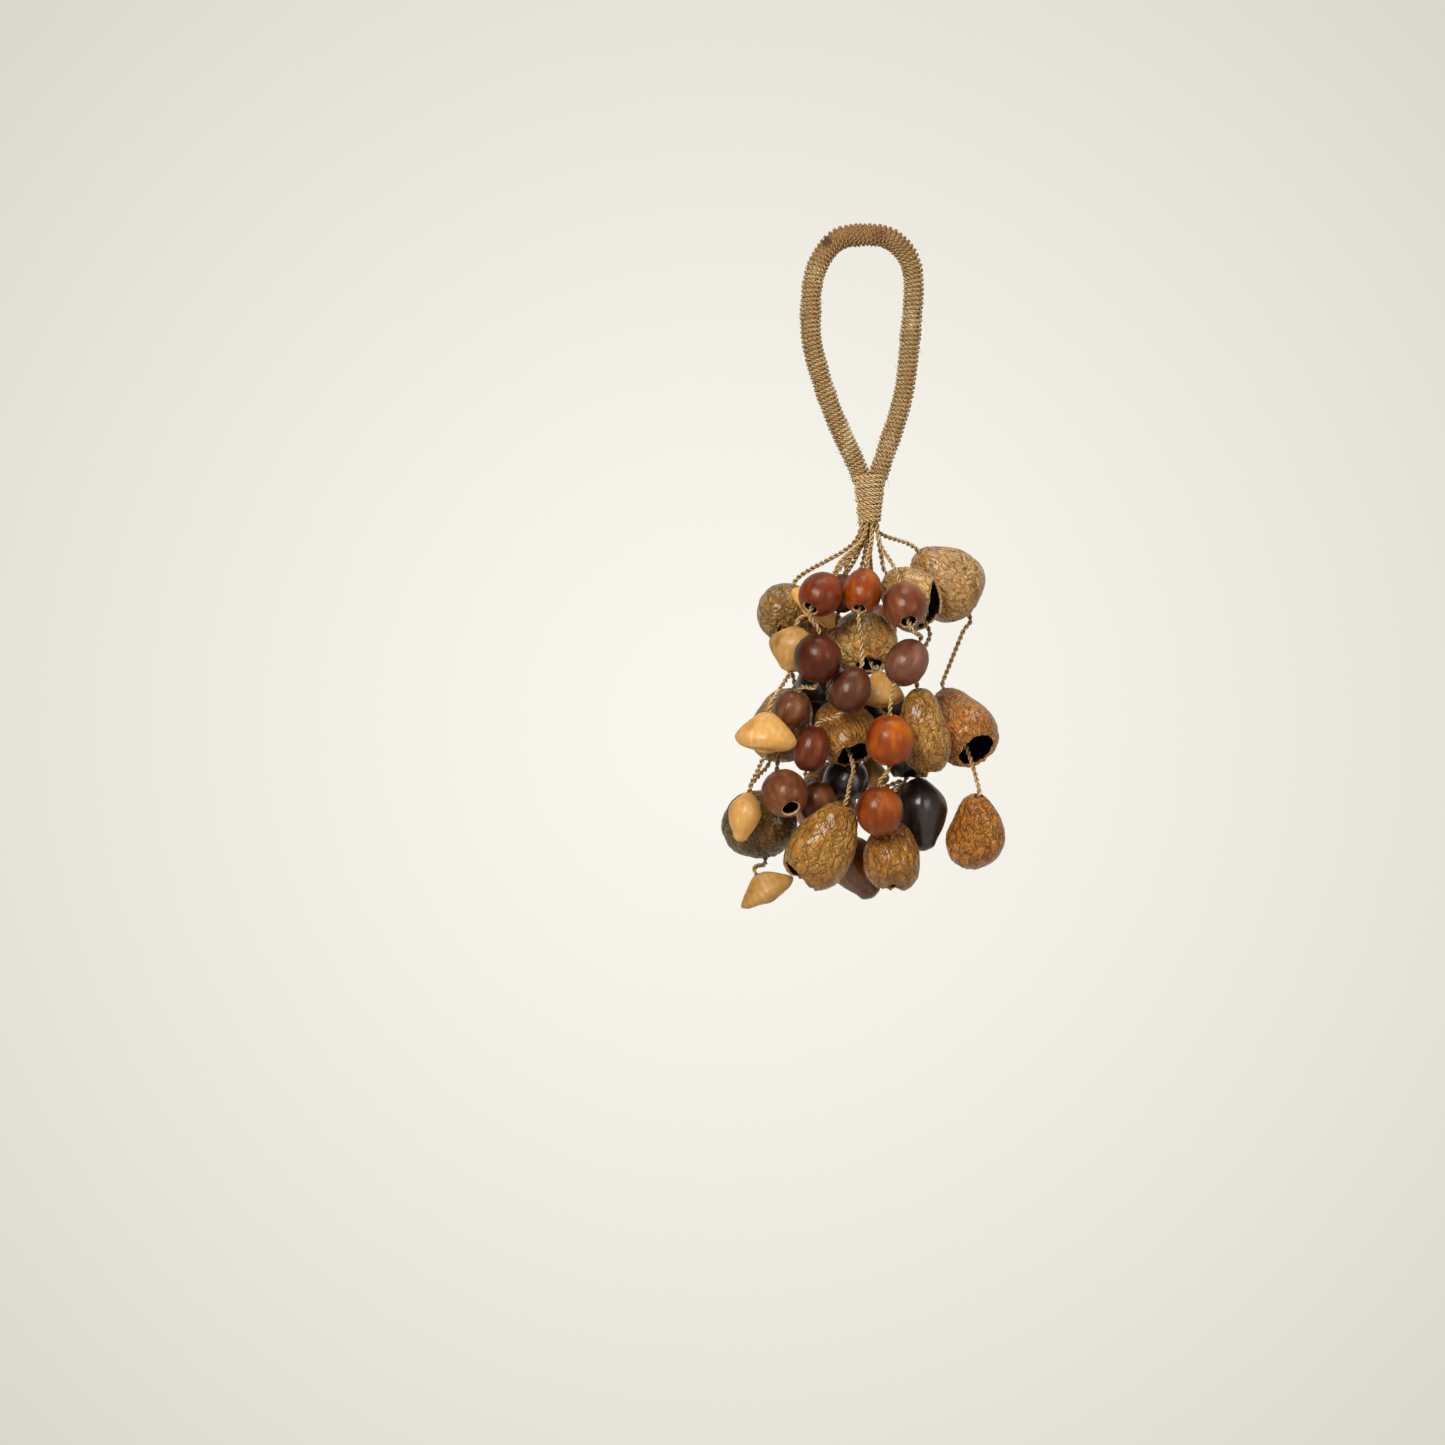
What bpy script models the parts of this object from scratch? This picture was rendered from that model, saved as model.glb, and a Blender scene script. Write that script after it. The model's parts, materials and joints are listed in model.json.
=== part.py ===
"""A hand rattle of dried nutshells and seeds on a wrapped cord loop, hanging by its loop.

Units are metres. +Z is up, +X is to the right of someone who faces the rattle, and -Y points at them.
The origin is the inner surface of the loop's crown, where a hand or a hook holds the rattle.
Twelve cords leave a bound neck below the loop. Each runs through three or four nuts, and a knot
under each nut carries it. All the nuts stay clear of each other by the same small clearance.
"""

import math

import bpy
import numpy as np
from mathutils import Euler, Matrix, Vector

MM = 0.001

# The wrapped loop
LOOP_WIDTH = 0.0515  # between the centrelines of its two arms at the widest
LOOP_DROP = 0.1150  # from the crown's inner surface down to the top of the neck
CROWN_RADIUS = 0.0055  # of the wrapped loop at the crown, where a hand holds it
ARM_RADIUS = 0.0049  # of the wrapped loop along its arms
WRAP_GROOVE = 0.0004  # how far the wrapping dips between two groups of turns
WRAP_PITCH = 0.0050  # between one ridge of the wrapping and the next dip
CORE_RADIUS = 0.0024

# The bound neck
NECK_X = 0.0036
NECK_LENGTH = 0.0240
NECK_TURNS = 7
NECK_SIDES = 10
NECK_TAPER = 0.7  # under 1, so the binding draws in soonest just below the loop's two arms
NECK_WALL = 0.0011  # of the binding at its ridges
NECK_OVERLAP = 0.0105  # how far the loop's core and the cords reach into the neck

# The cords and what they go through
CORD_RADIUS = 0.0011
KNOT_RADIUS = 0.0021
KNOT_LENGTH = 0.0034
KNOT_POCKET = 0.0060  # depth of the wider end of a solid nut's bore, which hides the knot
CLEARANCE = 0.0004  # between any two pieces that lie beside each other
BORE_CLEARANCE = 0.0004  # round a cord in the hole that it goes through

# The walls of the hollow nuts
SHELL_WALL = 0.0019
SEED_WALL = 0.0016
HUSK_WALL = 0.0012

# How far the wide side of each kind stands out of a ball's shape
SHELL_LOBES = 0.035
SEED_LOBES = 0.012

SETTLE_ROUNDS = 260
RUN_STEP = 0.0045  # between the points that a free run of cord is laid with
ENTRY_RISE = 0.0028  # how far above a nut a cord turns to go straight in
NECK_BUNDLE = 0.45  # share of a first run over which a cord still heads down from the neck
NUT_HANG = 0.35  # share of a first run over which a cord comes down on its nut from above
CORD_STEP = 0.0080  # between the points of a cord where it hangs free

SHELL_BROWN = (0.24, 0.125, 0.045)
SHELL_OLIVE = (0.16, 0.11, 0.04)
SEED_MAHOGANY = (0.12, 0.028, 0.014)
SEED_ORANGE = (0.42, 0.11, 0.02)
SEED_PURPLE = (0.11, 0.045, 0.045)
NUT_TAN = (0.62, 0.40, 0.18)
HUSK_BLACK = (0.016, 0.012, 0.013)
CORD_STRAW = (0.50, 0.35, 0.16)
WRAP_KHAKI = (0.36, 0.26, 0.13)

# Each nut: kind, place as mm right of the neck, mm behind it and mm below its lower end; width,
# depth and height in mm; lean of its top to the right and nod of its mouth towards the viewer in
# degrees; radius of its mouth in mm; how much wider it is below the middle than above; colour.
NUTS = {
    "shell_01": ("shell", (38.8, 27, 28.6), (37, 35, 42), (-40, -22), 6.0, 0.10, SHELL_BROWN),
    "shell_02": ("shell", (21.1, 4, 38.5), (33, 31, 38), (-44, 14), 10.0, 0.04, SHELL_BROWN),
    "shell_03": ("shell", (-41.2, 13, 43.9), (31, 31, 32), (8, 48), 3.4, 0.05, SHELL_OLIVE),
    "shell_04": ("shell", (-3.9, 5, 57.3), (35, 33, 35), (-12, 32), 6.2, 0.05, SHELL_BROWN),
    "shell_05": ("shell", (-40.4, 10, 99.0), (33, 31, 39), (16, -16), 6.0, 0.10, SHELL_OLIVE),
    "shell_06": ("shell", (-10.5, -4, 104.8), (33, 31, 38), (-26, 20), 10.0, 0.05, SHELL_BROWN),
    "shell_07": ("shell", (26.3, -2, 106.0), (28, 28, 45), (-8, -12), 6.0, 0.05, SHELL_OLIVE),
    "shell_08": ("shell", (46.5, 12, 101.0), (32, 30, 47), (-22, 30), 8.0, 0.26, SHELL_BROWN),
    "shell_09": ("shell", (46.0, 6, 151.5), (29, 28, 41), (4, -24), 5.0, 0.24, SHELL_BROWN),
    "shell_10": ("shell", (11.6, -10, 165.4), (31, 30, 36), (0, 4), 6.8, 0.12, SHELL_BROWN),
    "shell_11": ("shell", (-22.5, -18, 159.5), (34, 32, 49), (27, -12), 8.0, 0.20, SHELL_BROWN),
    "shell_12": ("shell", (-55.0, 6, 151.0), (40, 33, 35), (-14, -18), 7.0, 0.05, SHELL_OLIVE),
    "shell_13": ("drop", (-7.5, 10, 171.0), (26, 25, 36), (-32, 0), 0.0, 0.00, SHELL_OLIVE),
    "shell_14": ("shell", (-20.0, 38, 60.0), (34, 32, 36), (10, -26), 6.5, 0.08, SHELL_BROWN),
    "shell_15": ("shell", (-20.0, 28, 138.0), (33, 31, 40), (12, -18), 8.0, 0.12, SHELL_BROWN),
    "shell_16": ("shell", (20.0, 30, 146.0), (29, 28, 33), (-8, -20), 7.0, 0.10, SHELL_OLIVE),
    "seed_01": ("seed", (-23.7, -27, 35.8), (21.5, 21, 24), (31, 24), 3.4, 0.04, SEED_MAHOGANY),
    "seed_02": ("seed", (-3.9, -22, 33.9), (20, 20, 25), (10, 22), 3.1, 0.04, SEED_ORANGE),
    "seed_03": ("seed", (-13.0, 6, 36.0), (18, 18, 20), (10, 0), 3.0, 0.00, SEED_PURPLE),
    "seed_04": ("seed", (16.8, -23, 41.5), (22, 22, 25), (-10, 34), 4.2, 0.04, SEED_PURPLE),
    "seed_05": ("seed", (-25.4, -29, 67.9), (24, 23, 25), (2, -8), 3.3, 0.03, SEED_MAHOGANY),
    "seed_06": ("seed", (-10.7, -30, 82.7), (20, 20, 24.6), (24, 6), 3.0, 0.08, SEED_PURPLE),
    "seed_07": ("seed", (18.5, -20, 70.0), (21.5, 21, 25), (30, 10), 3.4, 0.03, SEED_PURPLE),
    "seed_08": ("seed", (-40.0, -14, 93.5), (18, 18, 20), (24, 0), 2.9, 0.00, SEED_PURPLE),
    "seed_09": ("seed", (-28.8, -22, 112.4), (18, 18, 24), (14, 0), 2.9, 0.06, SEED_MAHOGANY),
    "seed_10": ("seed", (-40.3, -24, 132.3), (23.6, 23, 25), (-15, 42), 4.8, 0.04, SEED_PURPLE),
    "seed_11": ("seed", (9.7, -30, 108.1), (25, 25, 26), (0, -8), 3.3, 0.00, SEED_ORANGE),
    "seed_12": ("seed", (2.7, -30, 143.7), (24, 23, 25.5), (0, -8), 3.3, 0.00, SEED_ORANGE),
    "seed_13": ("seed", (-24.4, -2, 139.5), (19, 19, 22), (0, 0), 3.0, 0.00, SEED_PURPLE),
    "seed_14": ("seed", (-28.0, 36, 98.0), (22, 21, 24), (4, -10), 3.2, 0.04, SEED_MAHOGANY),
    "seed_15": ("seed", (2.0, 34, 52.0), (21, 21, 24), (-8, -14), 3.2, 0.04, SEED_ORANGE),
    "nut_01": ("wedge", (-26.0, -8, 40.0), (28, 14, 15), (42, 0), 0.0, 0.00, NUT_TAN),
    "nut_02": ("drop", (-38.0, -14, 62.5), (25, 16, 22), (8, 0), 0.0, 0.00, NUT_TAN),
    "nut_03": ("wedge", (3.4, -4, 84.5), (24, 15, 18), (0, 0), 0.0, 0.00, NUT_TAN),
    "nut_04": ("wedge", (-51.3, -29, 103.7), (31, 18, 20), (6, 0), 0.0, 0.00, NUT_TAN),
    "nut_05": ("drop", (-62.4, -20, 145.9), (17, 15, 24), (11, 0), 0.0, 0.00, NUT_TAN),
    "nut_06": ("wedge", (-52.5, -8, 181.5), (30, 14, 15), (-30, 0), 0.0, 0.00, NUT_TAN),
    "nut_07": ("wedge", (1.0, 19, 126.0), (18, 13, 15), (0, 0), 0.0, 0.00, NUT_TAN),
    "husk_01": ("husk", (-25.4, 14, 81.0), (27, 25, 27), (6, 0), 10.5, 0.00, HUSK_BLACK),
    "husk_02": ("husk", (6.1, 16, 92.0), (28, 26, 28), (-6, 0), 10.5, 0.00, HUSK_BLACK),
    "husk_03": ("drop", (29.0, 7, 142.0), (27, 24, 36), (-4, 0), 0.0, 0.00, HUSK_BLACK),
    "husk_04": ("husk", (-11.9, 14, 128.0), (25, 23, 25), (4, 0), 9.0, 0.00, HUSK_BLACK),
    "husk_05": ("husk", (20.0, 12, 124.0), (22, 20, 23), (0, 0), 8.0, 0.00, HUSK_BLACK),
}

# Each cord, with its place in the neck as ring and step round it, and its nuts from the top down.
CORDS = {
    "cord_01": (("outer", 4), ("seed_01", "seed_05", "seed_08", "seed_10")),
    "cord_02": (("outer", 3), ("nut_01", "nut_02", "nut_04", "nut_05")),
    "cord_03": (("outer", 2), ("shell_03", "shell_05", "shell_12", "nut_06")),
    "cord_04": (("outer", 5), ("seed_02", "seed_06", "seed_09", "seed_13")),
    "cord_05": (("outer", 6), ("seed_04", "seed_07", "seed_11", "seed_12")),
    "cord_06": (("outer", 8), ("shell_01", "shell_08", "shell_09")),
    "cord_07": (("outer", 7), ("shell_02", "shell_07", "husk_03")),
    "cord_08": (("inner", 2), ("shell_04", "nut_03", "husk_05", "shell_10")),
    "cord_09": (("inner", 0), ("seed_03", "shell_06", "shell_11")),
    "cord_10": (("inner", 1), ("husk_01", "husk_04", "shell_13")),
    "cord_11": (("outer", 1), ("shell_14", "seed_14", "shell_15")),
    "cord_12": (("outer", 0), ("seed_15", "husk_02", "nut_07", "shell_16")),
}

BORE_RADIUS = CORD_RADIUS + BORE_CLEARANCE
NECK_TOP = -LOOP_DROP
NECK_BOTTOM = NECK_TOP - NECK_LENGTH
ROPE_FLATS = math.cos(math.pi / 6)  # the loop's core and wrapping have six sides
WRAP_THICKNESS = ARM_RADIUS - WRAP_GROOVE - (CORE_RADIUS + CLEARANCE / 2) / ROPE_FLATS
WALLS = {"shell": SHELL_WALL, "seed": SEED_WALL, "husk": HUSK_WALL}
STEPS = {"shell": 9, "seed": 8, "husk": 9, "wedge": 8, "drop": 8}
ROWS = {"shell": 5, "seed": 4, "husk": 5}
# Half outlines of the solid nuts, as shares of half the width and half the height
OUTLINES = {
    "wedge": ((0.30, 0.86), (0.62, 0.42), (0.93, -0.12), (1.0, -0.42), (0.80, -0.76), (0.40, -0.94)),
    "drop": ((0.40, 0.90), (0.86, 0.52), (1.0, 0.12), (0.82, -0.34), (0.52, -0.74), (0.38, -0.94)),
}


def clear_scene():
    for obj in list(bpy.data.objects):
        bpy.data.objects.remove(obj, do_unlink=True)


def collection_for(name):
    made = bpy.data.collections.new(name)
    bpy.context.scene.collection.children.link(made)
    return made


def material_for(obj, colour, roughness):
    made = bpy.data.materials.new(obj.name)
    made.use_nodes = True
    shader = made.node_tree.nodes["Principled BSDF"]
    shader.inputs["Base Color"].default_value = (*colour, 1.0)
    shader.inputs["Roughness"].default_value = roughness
    shader.inputs["Metallic"].default_value = 0.0
    obj.data.materials.append(made)


def evaluated_mesh(obj):
    """A mesh of its own from what the object's modifiers or curve settings make of it."""
    found = obj.evaluated_get(bpy.context.evaluated_depsgraph_get())
    return bpy.data.meshes.new_from_object(found)


def turned_mesh(name, outline, steps, closed):
    """The outline, a list of (radius, height) from the top down, turned about Z."""
    mesh = bpy.data.meshes.new(name)
    edges = [(i, i + 1) for i in range(len(outline) - 1)]
    if closed:
        edges.append((len(outline) - 1, 0))
    mesh.from_pydata([(r, 0.0, z) for r, z in outline], edges, [])
    obj = bpy.data.objects.new(name, mesh)
    bpy.context.scene.collection.objects.link(obj)
    screw = obj.modifiers.new("Turn", "SCREW")
    screw.axis = "Z"
    screw.angle = 2 * math.pi
    screw.steps = steps
    screw.render_steps = steps
    screw.use_merge_vertices = True
    screw.merge_threshold = 0.00005
    made = evaluated_mesh(obj)
    bpy.data.objects.remove(obj, do_unlink=True)
    bpy.data.meshes.remove(mesh)
    made.name = name
    return made


def finished(name, mesh, colour, roughness, collection, matrix=None):
    obj = bpy.data.objects.new(name, mesh)
    if matrix is not None:
        obj.matrix_world = matrix
    collection.objects.link(obj)
    mesh.shade_smooth()
    mesh.set_sharp_from_angle(angle=math.radians(50))
    material_for(obj, colour, roughness)
    return obj


def smooth_path(points, spacing):
    """Points about a spacing apart on a smooth curve through the given ones."""
    points = [Vector(p) for p in points]
    ends = [2 * points[0] - points[1], *points, 2 * points[-1] - points[-2]]
    path = []
    for before, start, end, after in zip(ends, ends[1:], ends[2:], ends[3:]):
        count = max(1, round((end - start).length / spacing))
        for i in range(count):
            t = i / count
            path.append(
                0.5
                * (
                    2 * start
                    + (end - before) * t
                    + (2 * before - 5 * start + 4 * end - after) * t**2
                    + (3 * start - before - 3 * end + after) * t**3
                )
            )
    path.append(points[-1])
    return path


def tube(name, path, radius, shares, sides_level, capped):
    """A curve object round a path, its radius at each point a share of the given one."""
    curve = bpy.data.curves.new(name, "CURVE")
    curve.dimensions = "3D"
    curve.bevel_depth = radius
    curve.bevel_resolution = sides_level
    curve.use_fill_caps = capped
    curve.twist_mode = "MINIMUM"
    spline = curve.splines.new("POLY")
    spline.points.add(len(path) - 1)
    for point, place, share in zip(spline.points, path, shares):
        point.co = (*place, 1.0)
        point.radius = share
    return bpy.data.objects.new(name, curve)


def loop_points():
    """The loop's centreline from the left arm's end in the neck, over the crown, to the right one's."""
    half = LOOP_WIDTH / 2
    crown = CROWN_RADIUS
    side = NECK_X - (CORE_RADIUS + CLEARANCE)
    other = NECK_X + (CORE_RADIUS + CLEARANCE)
    # How far out and how far down the bow each point lies
    left = ((-0.38, 0.83), (-0.65, 0.69), (-0.92, 0.50), (-1.0, 0.37), (-0.92, 0.16), (-0.52, 0.026))
    right = ((0.51, 0.012), (0.87, 0.084), (1.0, 0.19), (0.95, 0.39), (0.80, 0.665), (0.49, 0.884))
    drop = LOOP_DROP + crown
    apart = ARM_RADIUS + CLEARANCE
    points = [(side, NECK_TOP - NECK_OVERLAP), (side, NECK_TOP - NECK_OVERLAP * 0.6)]
    points += [(NECK_X - apart, NECK_TOP + ARM_RADIUS * 0.6)]
    points += [(half * x, crown - drop * z) for x, z in left]
    points += [(0.0, crown)]
    points += [(half * x, crown - drop * z) for x, z in right]
    points += [(NECK_X + apart, NECK_TOP + ARM_RADIUS * 0.6)]
    points += [(other, NECK_TOP - NECK_OVERLAP * 0.6)]
    points += [(other, NECK_TOP - NECK_OVERLAP)]
    return [(x, 0.0, z) for x, z in points]


def wrapped_radius(z):
    """The loop's outer radius is largest at the crown and even along the arms."""
    share = min(1.0, max(0.0, (CROWN_RADIUS - z) / (LOOP_WIDTH / 2)))
    return CROWN_RADIUS + (ARM_RADIUS - CROWN_RADIUS) * share


def make_loop(collection):
    route = smooth_path(loop_points(), WRAP_PITCH)
    core = tube("loop_core", route, CORE_RADIUS, [1.0] * len(route), 1, True)
    collection.objects.link(core)
    material_for(core, CORD_STRAW, 0.8)
    above = [p for p in route if p.z > NECK_TOP + 2 * CLEARANCE]
    shares = []
    for i, place in enumerate(above):
        radius = wrapped_radius(place.z) - (WRAP_GROOVE if i % 2 else 0.0)
        shares.append(radius / ARM_RADIUS)
    sleeve = tube("loop_wrap", above, ARM_RADIUS, shares, 1, False)
    collection.objects.link(sleeve)
    mesh = evaluated_mesh(sleeve)
    bpy.data.objects.remove(sleeve, do_unlink=True)
    wrap = finished("loop_wrap", mesh, WRAP_KHAKI, 0.85, collection)
    wall = wrap.modifiers.new("Wall", "SOLIDIFY")
    wall.thickness = WRAP_THICKNESS
    wall.offset = -1.0


def make_neck(collection):
    """The bound neck: a tapering sleeve round the loop's two ends above and the cords below."""
    flats = math.cos(math.pi / NECK_SIDES)
    # The two ends of the core come in at a slant, so they need some more room than they fill
    above = (ARM_RADIUS + CORE_RADIUS) / flats
    below = (outer_reach() + CORD_RADIUS + CLEARANCE) / flats
    outline = []
    for i in range(2 * NECK_TURNS + 1):
        t = i / (2 * NECK_TURNS)
        radius = above + (below - above) * t**NECK_TAPER + NECK_WALL
        if i % 2 == 0:
            radius -= WRAP_GROOVE
        outline.append((radius, -NECK_LENGTH * t))
    for t in (1.0, 0.6, 0.25, 0.0):
        outline.append((above + (below - above) * t**NECK_TAPER, -NECK_LENGTH * t))
    mesh = turned_mesh("neck_binding", outline, NECK_SIDES, True)
    place = Matrix.Translation((NECK_X, 0.0, NECK_TOP))
    finished("neck_binding", mesh, CORD_STRAW, 0.8, collection, place)


def bore_corner(steps):
    """The radius of a many-sided bore at its corners, for a cord to clear its flats."""
    return BORE_RADIUS / math.cos(math.pi / steps)


def hollow_outline(kind, width, height, mouth, fuller):
    """The outer outline of a hollow nut, from the hole at its top down to its mouth."""
    rows = ROWS[kind]
    half = width / 2
    bore = bore_corner(STEPS[kind])
    last = math.pi - math.asin(min(0.95, mouth / half))
    hole = bore
    # The wall is set off inwards, square to the slope beside the hole, so the hole narrows below
    # its rim. Its rim is made wider by as much.
    for _ in range(3):
        first = math.asin(hole / half)
        outline = []
        for i in range(rows + 1):
            angle = first + (last - first) * i / rows
            share = 1 + fuller * (-math.cos(angle)) * math.sin(angle)
            outline.append((half * math.sin(angle) * share, height / 2 * math.cos(angle)))
        across = outline[1][0] - outline[0][0]
        down = outline[0][1] - outline[1][1]
        hole = bore + WALLS[kind] * down / math.hypot(across, down)
    return outline


def solid_outline(kind, width, height):
    """A closed outline: the outer side from the top down, and the bore back up."""
    outer = [(width / 2 * r, height / 2 * z) for r, z in OUTLINES[kind]]
    bore = bore_corner(STEPS[kind])
    pocket = bore + KNOT_RADIUS - CORD_RADIUS
    shoulder = KNOT_POCKET - height / 2
    inner = [(pocket, -height / 2), (pocket, shoulder), (bore, shoulder)]
    return [(bore, height / 2), *outer, *inner]


def shaped(mesh, kind, size, order):
    """Presses the turned nut to its depth and gives it the lobes or edges of its kind."""
    width, depth, height = size
    flat = depth / width
    phase = order * 2.4
    keep = bore_corner(STEPS[kind]) + WALLS.get(kind, 0.0) / 2
    for vertex in mesh.vertices:
        x, y, z = vertex.co
        reach = math.hypot(x, y)
        angle = math.atan2(y, x)
        # The hole and the bore stay round
        share = min(1.0, max(0.0, (reach - keep) / (width * 0.12)))
        if kind in ("wedge", "drop"):
            edge = 1 / (abs(math.cos(angle)) ** 1.5 + abs(math.sin(angle)) ** 1.5) ** (1 / 1.5)
            factor = 0.35 + 0.65 * edge
        elif kind == "seed":
            factor = 1 + SEED_LOBES * (math.cos(3 * angle + phase) - 1)
        else:
            factor = 1 + SHELL_LOBES * (math.cos(2 * angle + phase + 3 * z / height) - 1)
            factor *= 1 + SHELL_LOBES * 0.6 * (math.cos(5 * z / height + angle + phase) - 1)
        factor = 1 + (factor - 1) * share
        vertex.co = (x * factor, y * factor * (1 + (flat - 1) * share), z)


class Nut:
    """A nut's kind, size, turn and place. Its cord comes in at its top and leaves at its mouth."""

    def __init__(self, name, order):
        self.name = name
        self.order = order
        self.kind, place, size, turn, mouth, self.fuller, self.colour = NUTS[name]
        x, y, below = place
        self.home = np.array((NECK_X + x * MM, y * MM, NECK_BOTTOM - below * MM))
        self.size = tuple(s * MM for s in size)
        self.mouth = mouth * MM
        lean, nod = (math.radians(a) for a in turn)
        self.matrix = Euler((-nod, 0.0, 0.0)).to_matrix() @ Euler((0.0, lean, 0.0)).to_matrix()
        self.turn = np.array(self.matrix)
        self.half = np.array(self.size) / 2
        self.place = self.home.copy()
        if self.hollow:
            self.outline = hollow_outline(self.kind, self.size[0], self.size[2], self.mouth, self.fuller)
        else:
            self.outline = solid_outline(self.kind, self.size[0], self.size[2])
        self.top = self.outline[0][1]
        self.bottom = min(z for _, z in self.outline)

    @property
    def hollow(self):
        return self.kind in WALLS

    def world(self, x, y, z):
        return self.place + self.turn @ np.array((x, y, z))

    def entry(self):
        """Where the cord goes straight before it enters the top hole."""
        return self.world(0.0, 0.0, self.top + ENTRY_RISE)

    def knot_middle(self):
        """The knot's height in the nut's own frame, just clear of what it carries."""
        if self.hollow:
            return self.top - WALLS[self.kind] - CLEARANCE - KNOT_LENGTH / 2
        return self.bottom + KNOT_POCKET - CLEARANCE - KNOT_LENGTH / 2

    def leave(self, towards):
        """Where the cord leaves the nut on its way to a point, clear of the mouth's rim."""
        if not self.hollow:
            return self.world(0.0, 0.0, self.bottom - ENTRY_RISE / 2)
        local = self.turn.T @ (np.array(towards) - self.place)
        room = max(0.0, self.mouth - WALLS[self.kind] * 0.4 - CORD_RADIUS - 2.5 * CLEARANCE) * 0.75
        across = math.hypot(local[0], local[1])
        down = max(1e-6, self.top - local[2])
        share = min(1.0, (self.top - self.bottom) / down)
        reach = min(room, across * share)
        lip = self.bottom - CORD_RADIUS - CLEARANCE
        if across > 1e-9:
            return self.world(local[0] / across * reach, local[1] / across * reach, lip)
        return self.world(0.0, 0.0, lip)


def ball_points(count):
    """Evenly spread directions."""
    steps = np.arange(count)
    z = 1 - (2 * steps + 1) / count
    angle = steps * math.pi * (3 - math.sqrt(5))
    ring = np.sqrt(1 - z**2)
    return np.stack((ring * np.cos(angle), ring * np.sin(angle), z), axis=1)


def outer_reach():
    """How far the nine outer cords lie from the neck's axis."""
    return (2 * CORD_RADIUS + CLEARANCE) / (2 * math.sin(math.pi / 9))


def neck_seat(ring, step):
    """A cord's place across the neck: three in the middle, and nine round them."""
    if ring == "inner":
        reach = (2 * CORD_RADIUS + CLEARANCE) / math.sqrt(3)
        angle = math.radians(90 + 120 * step)
    else:
        reach = outer_reach()
        angle = math.radians(90 + 40 * step)
    return np.array((NECK_X + reach * math.cos(angle), reach * math.sin(angle), NECK_BOTTOM))


def free_runs(nuts):
    """The free stretches of all cords: two fixed ends, the points between, and the nuts they join."""
    runs = []
    for name, (seat, hung) in CORDS.items():
        start = neck_seat(*seat)
        spread = start - np.array((NECK_X, 0.0, NECK_BOTTOM))
        leave = start - np.array((0.0, 0.0, 0.0025)) + 0.12 * spread
        before = None
        for nut in hung:
            runs.append([name, before, nut, leave])
            before = nut
            leave = None
    return runs


def run_ends(run, nuts):
    _, before, nut, leave = run
    end = nuts[nut].entry()
    if before is not None:
        leave = nuts[before].leave(end)
    return leave, end


def hanging_line(run, start, end, count):
    """The line that a free run takes where nothing is in its way.

    From the neck a cord goes down in the bundle and bows outwards to its nut. Lower down it is
    pulled straight.
    """
    t = np.linspace(0.0, 1.0, count)[:, None]
    if run[1] is not None:
        return start + (end - start) * t
    fall = max(0.25 * np.linalg.norm(end - start), start[2] - end[2])
    drop = np.array((0.0, 0.0, fall))
    low = start - drop * NECK_BUNDLE
    high = end + drop * NUT_HANG
    return (1 - t) ** 3 * start + 3 * t * (1 - t) ** 2 * low + 3 * t**2 * (1 - t) * high + t**3 * end


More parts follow.
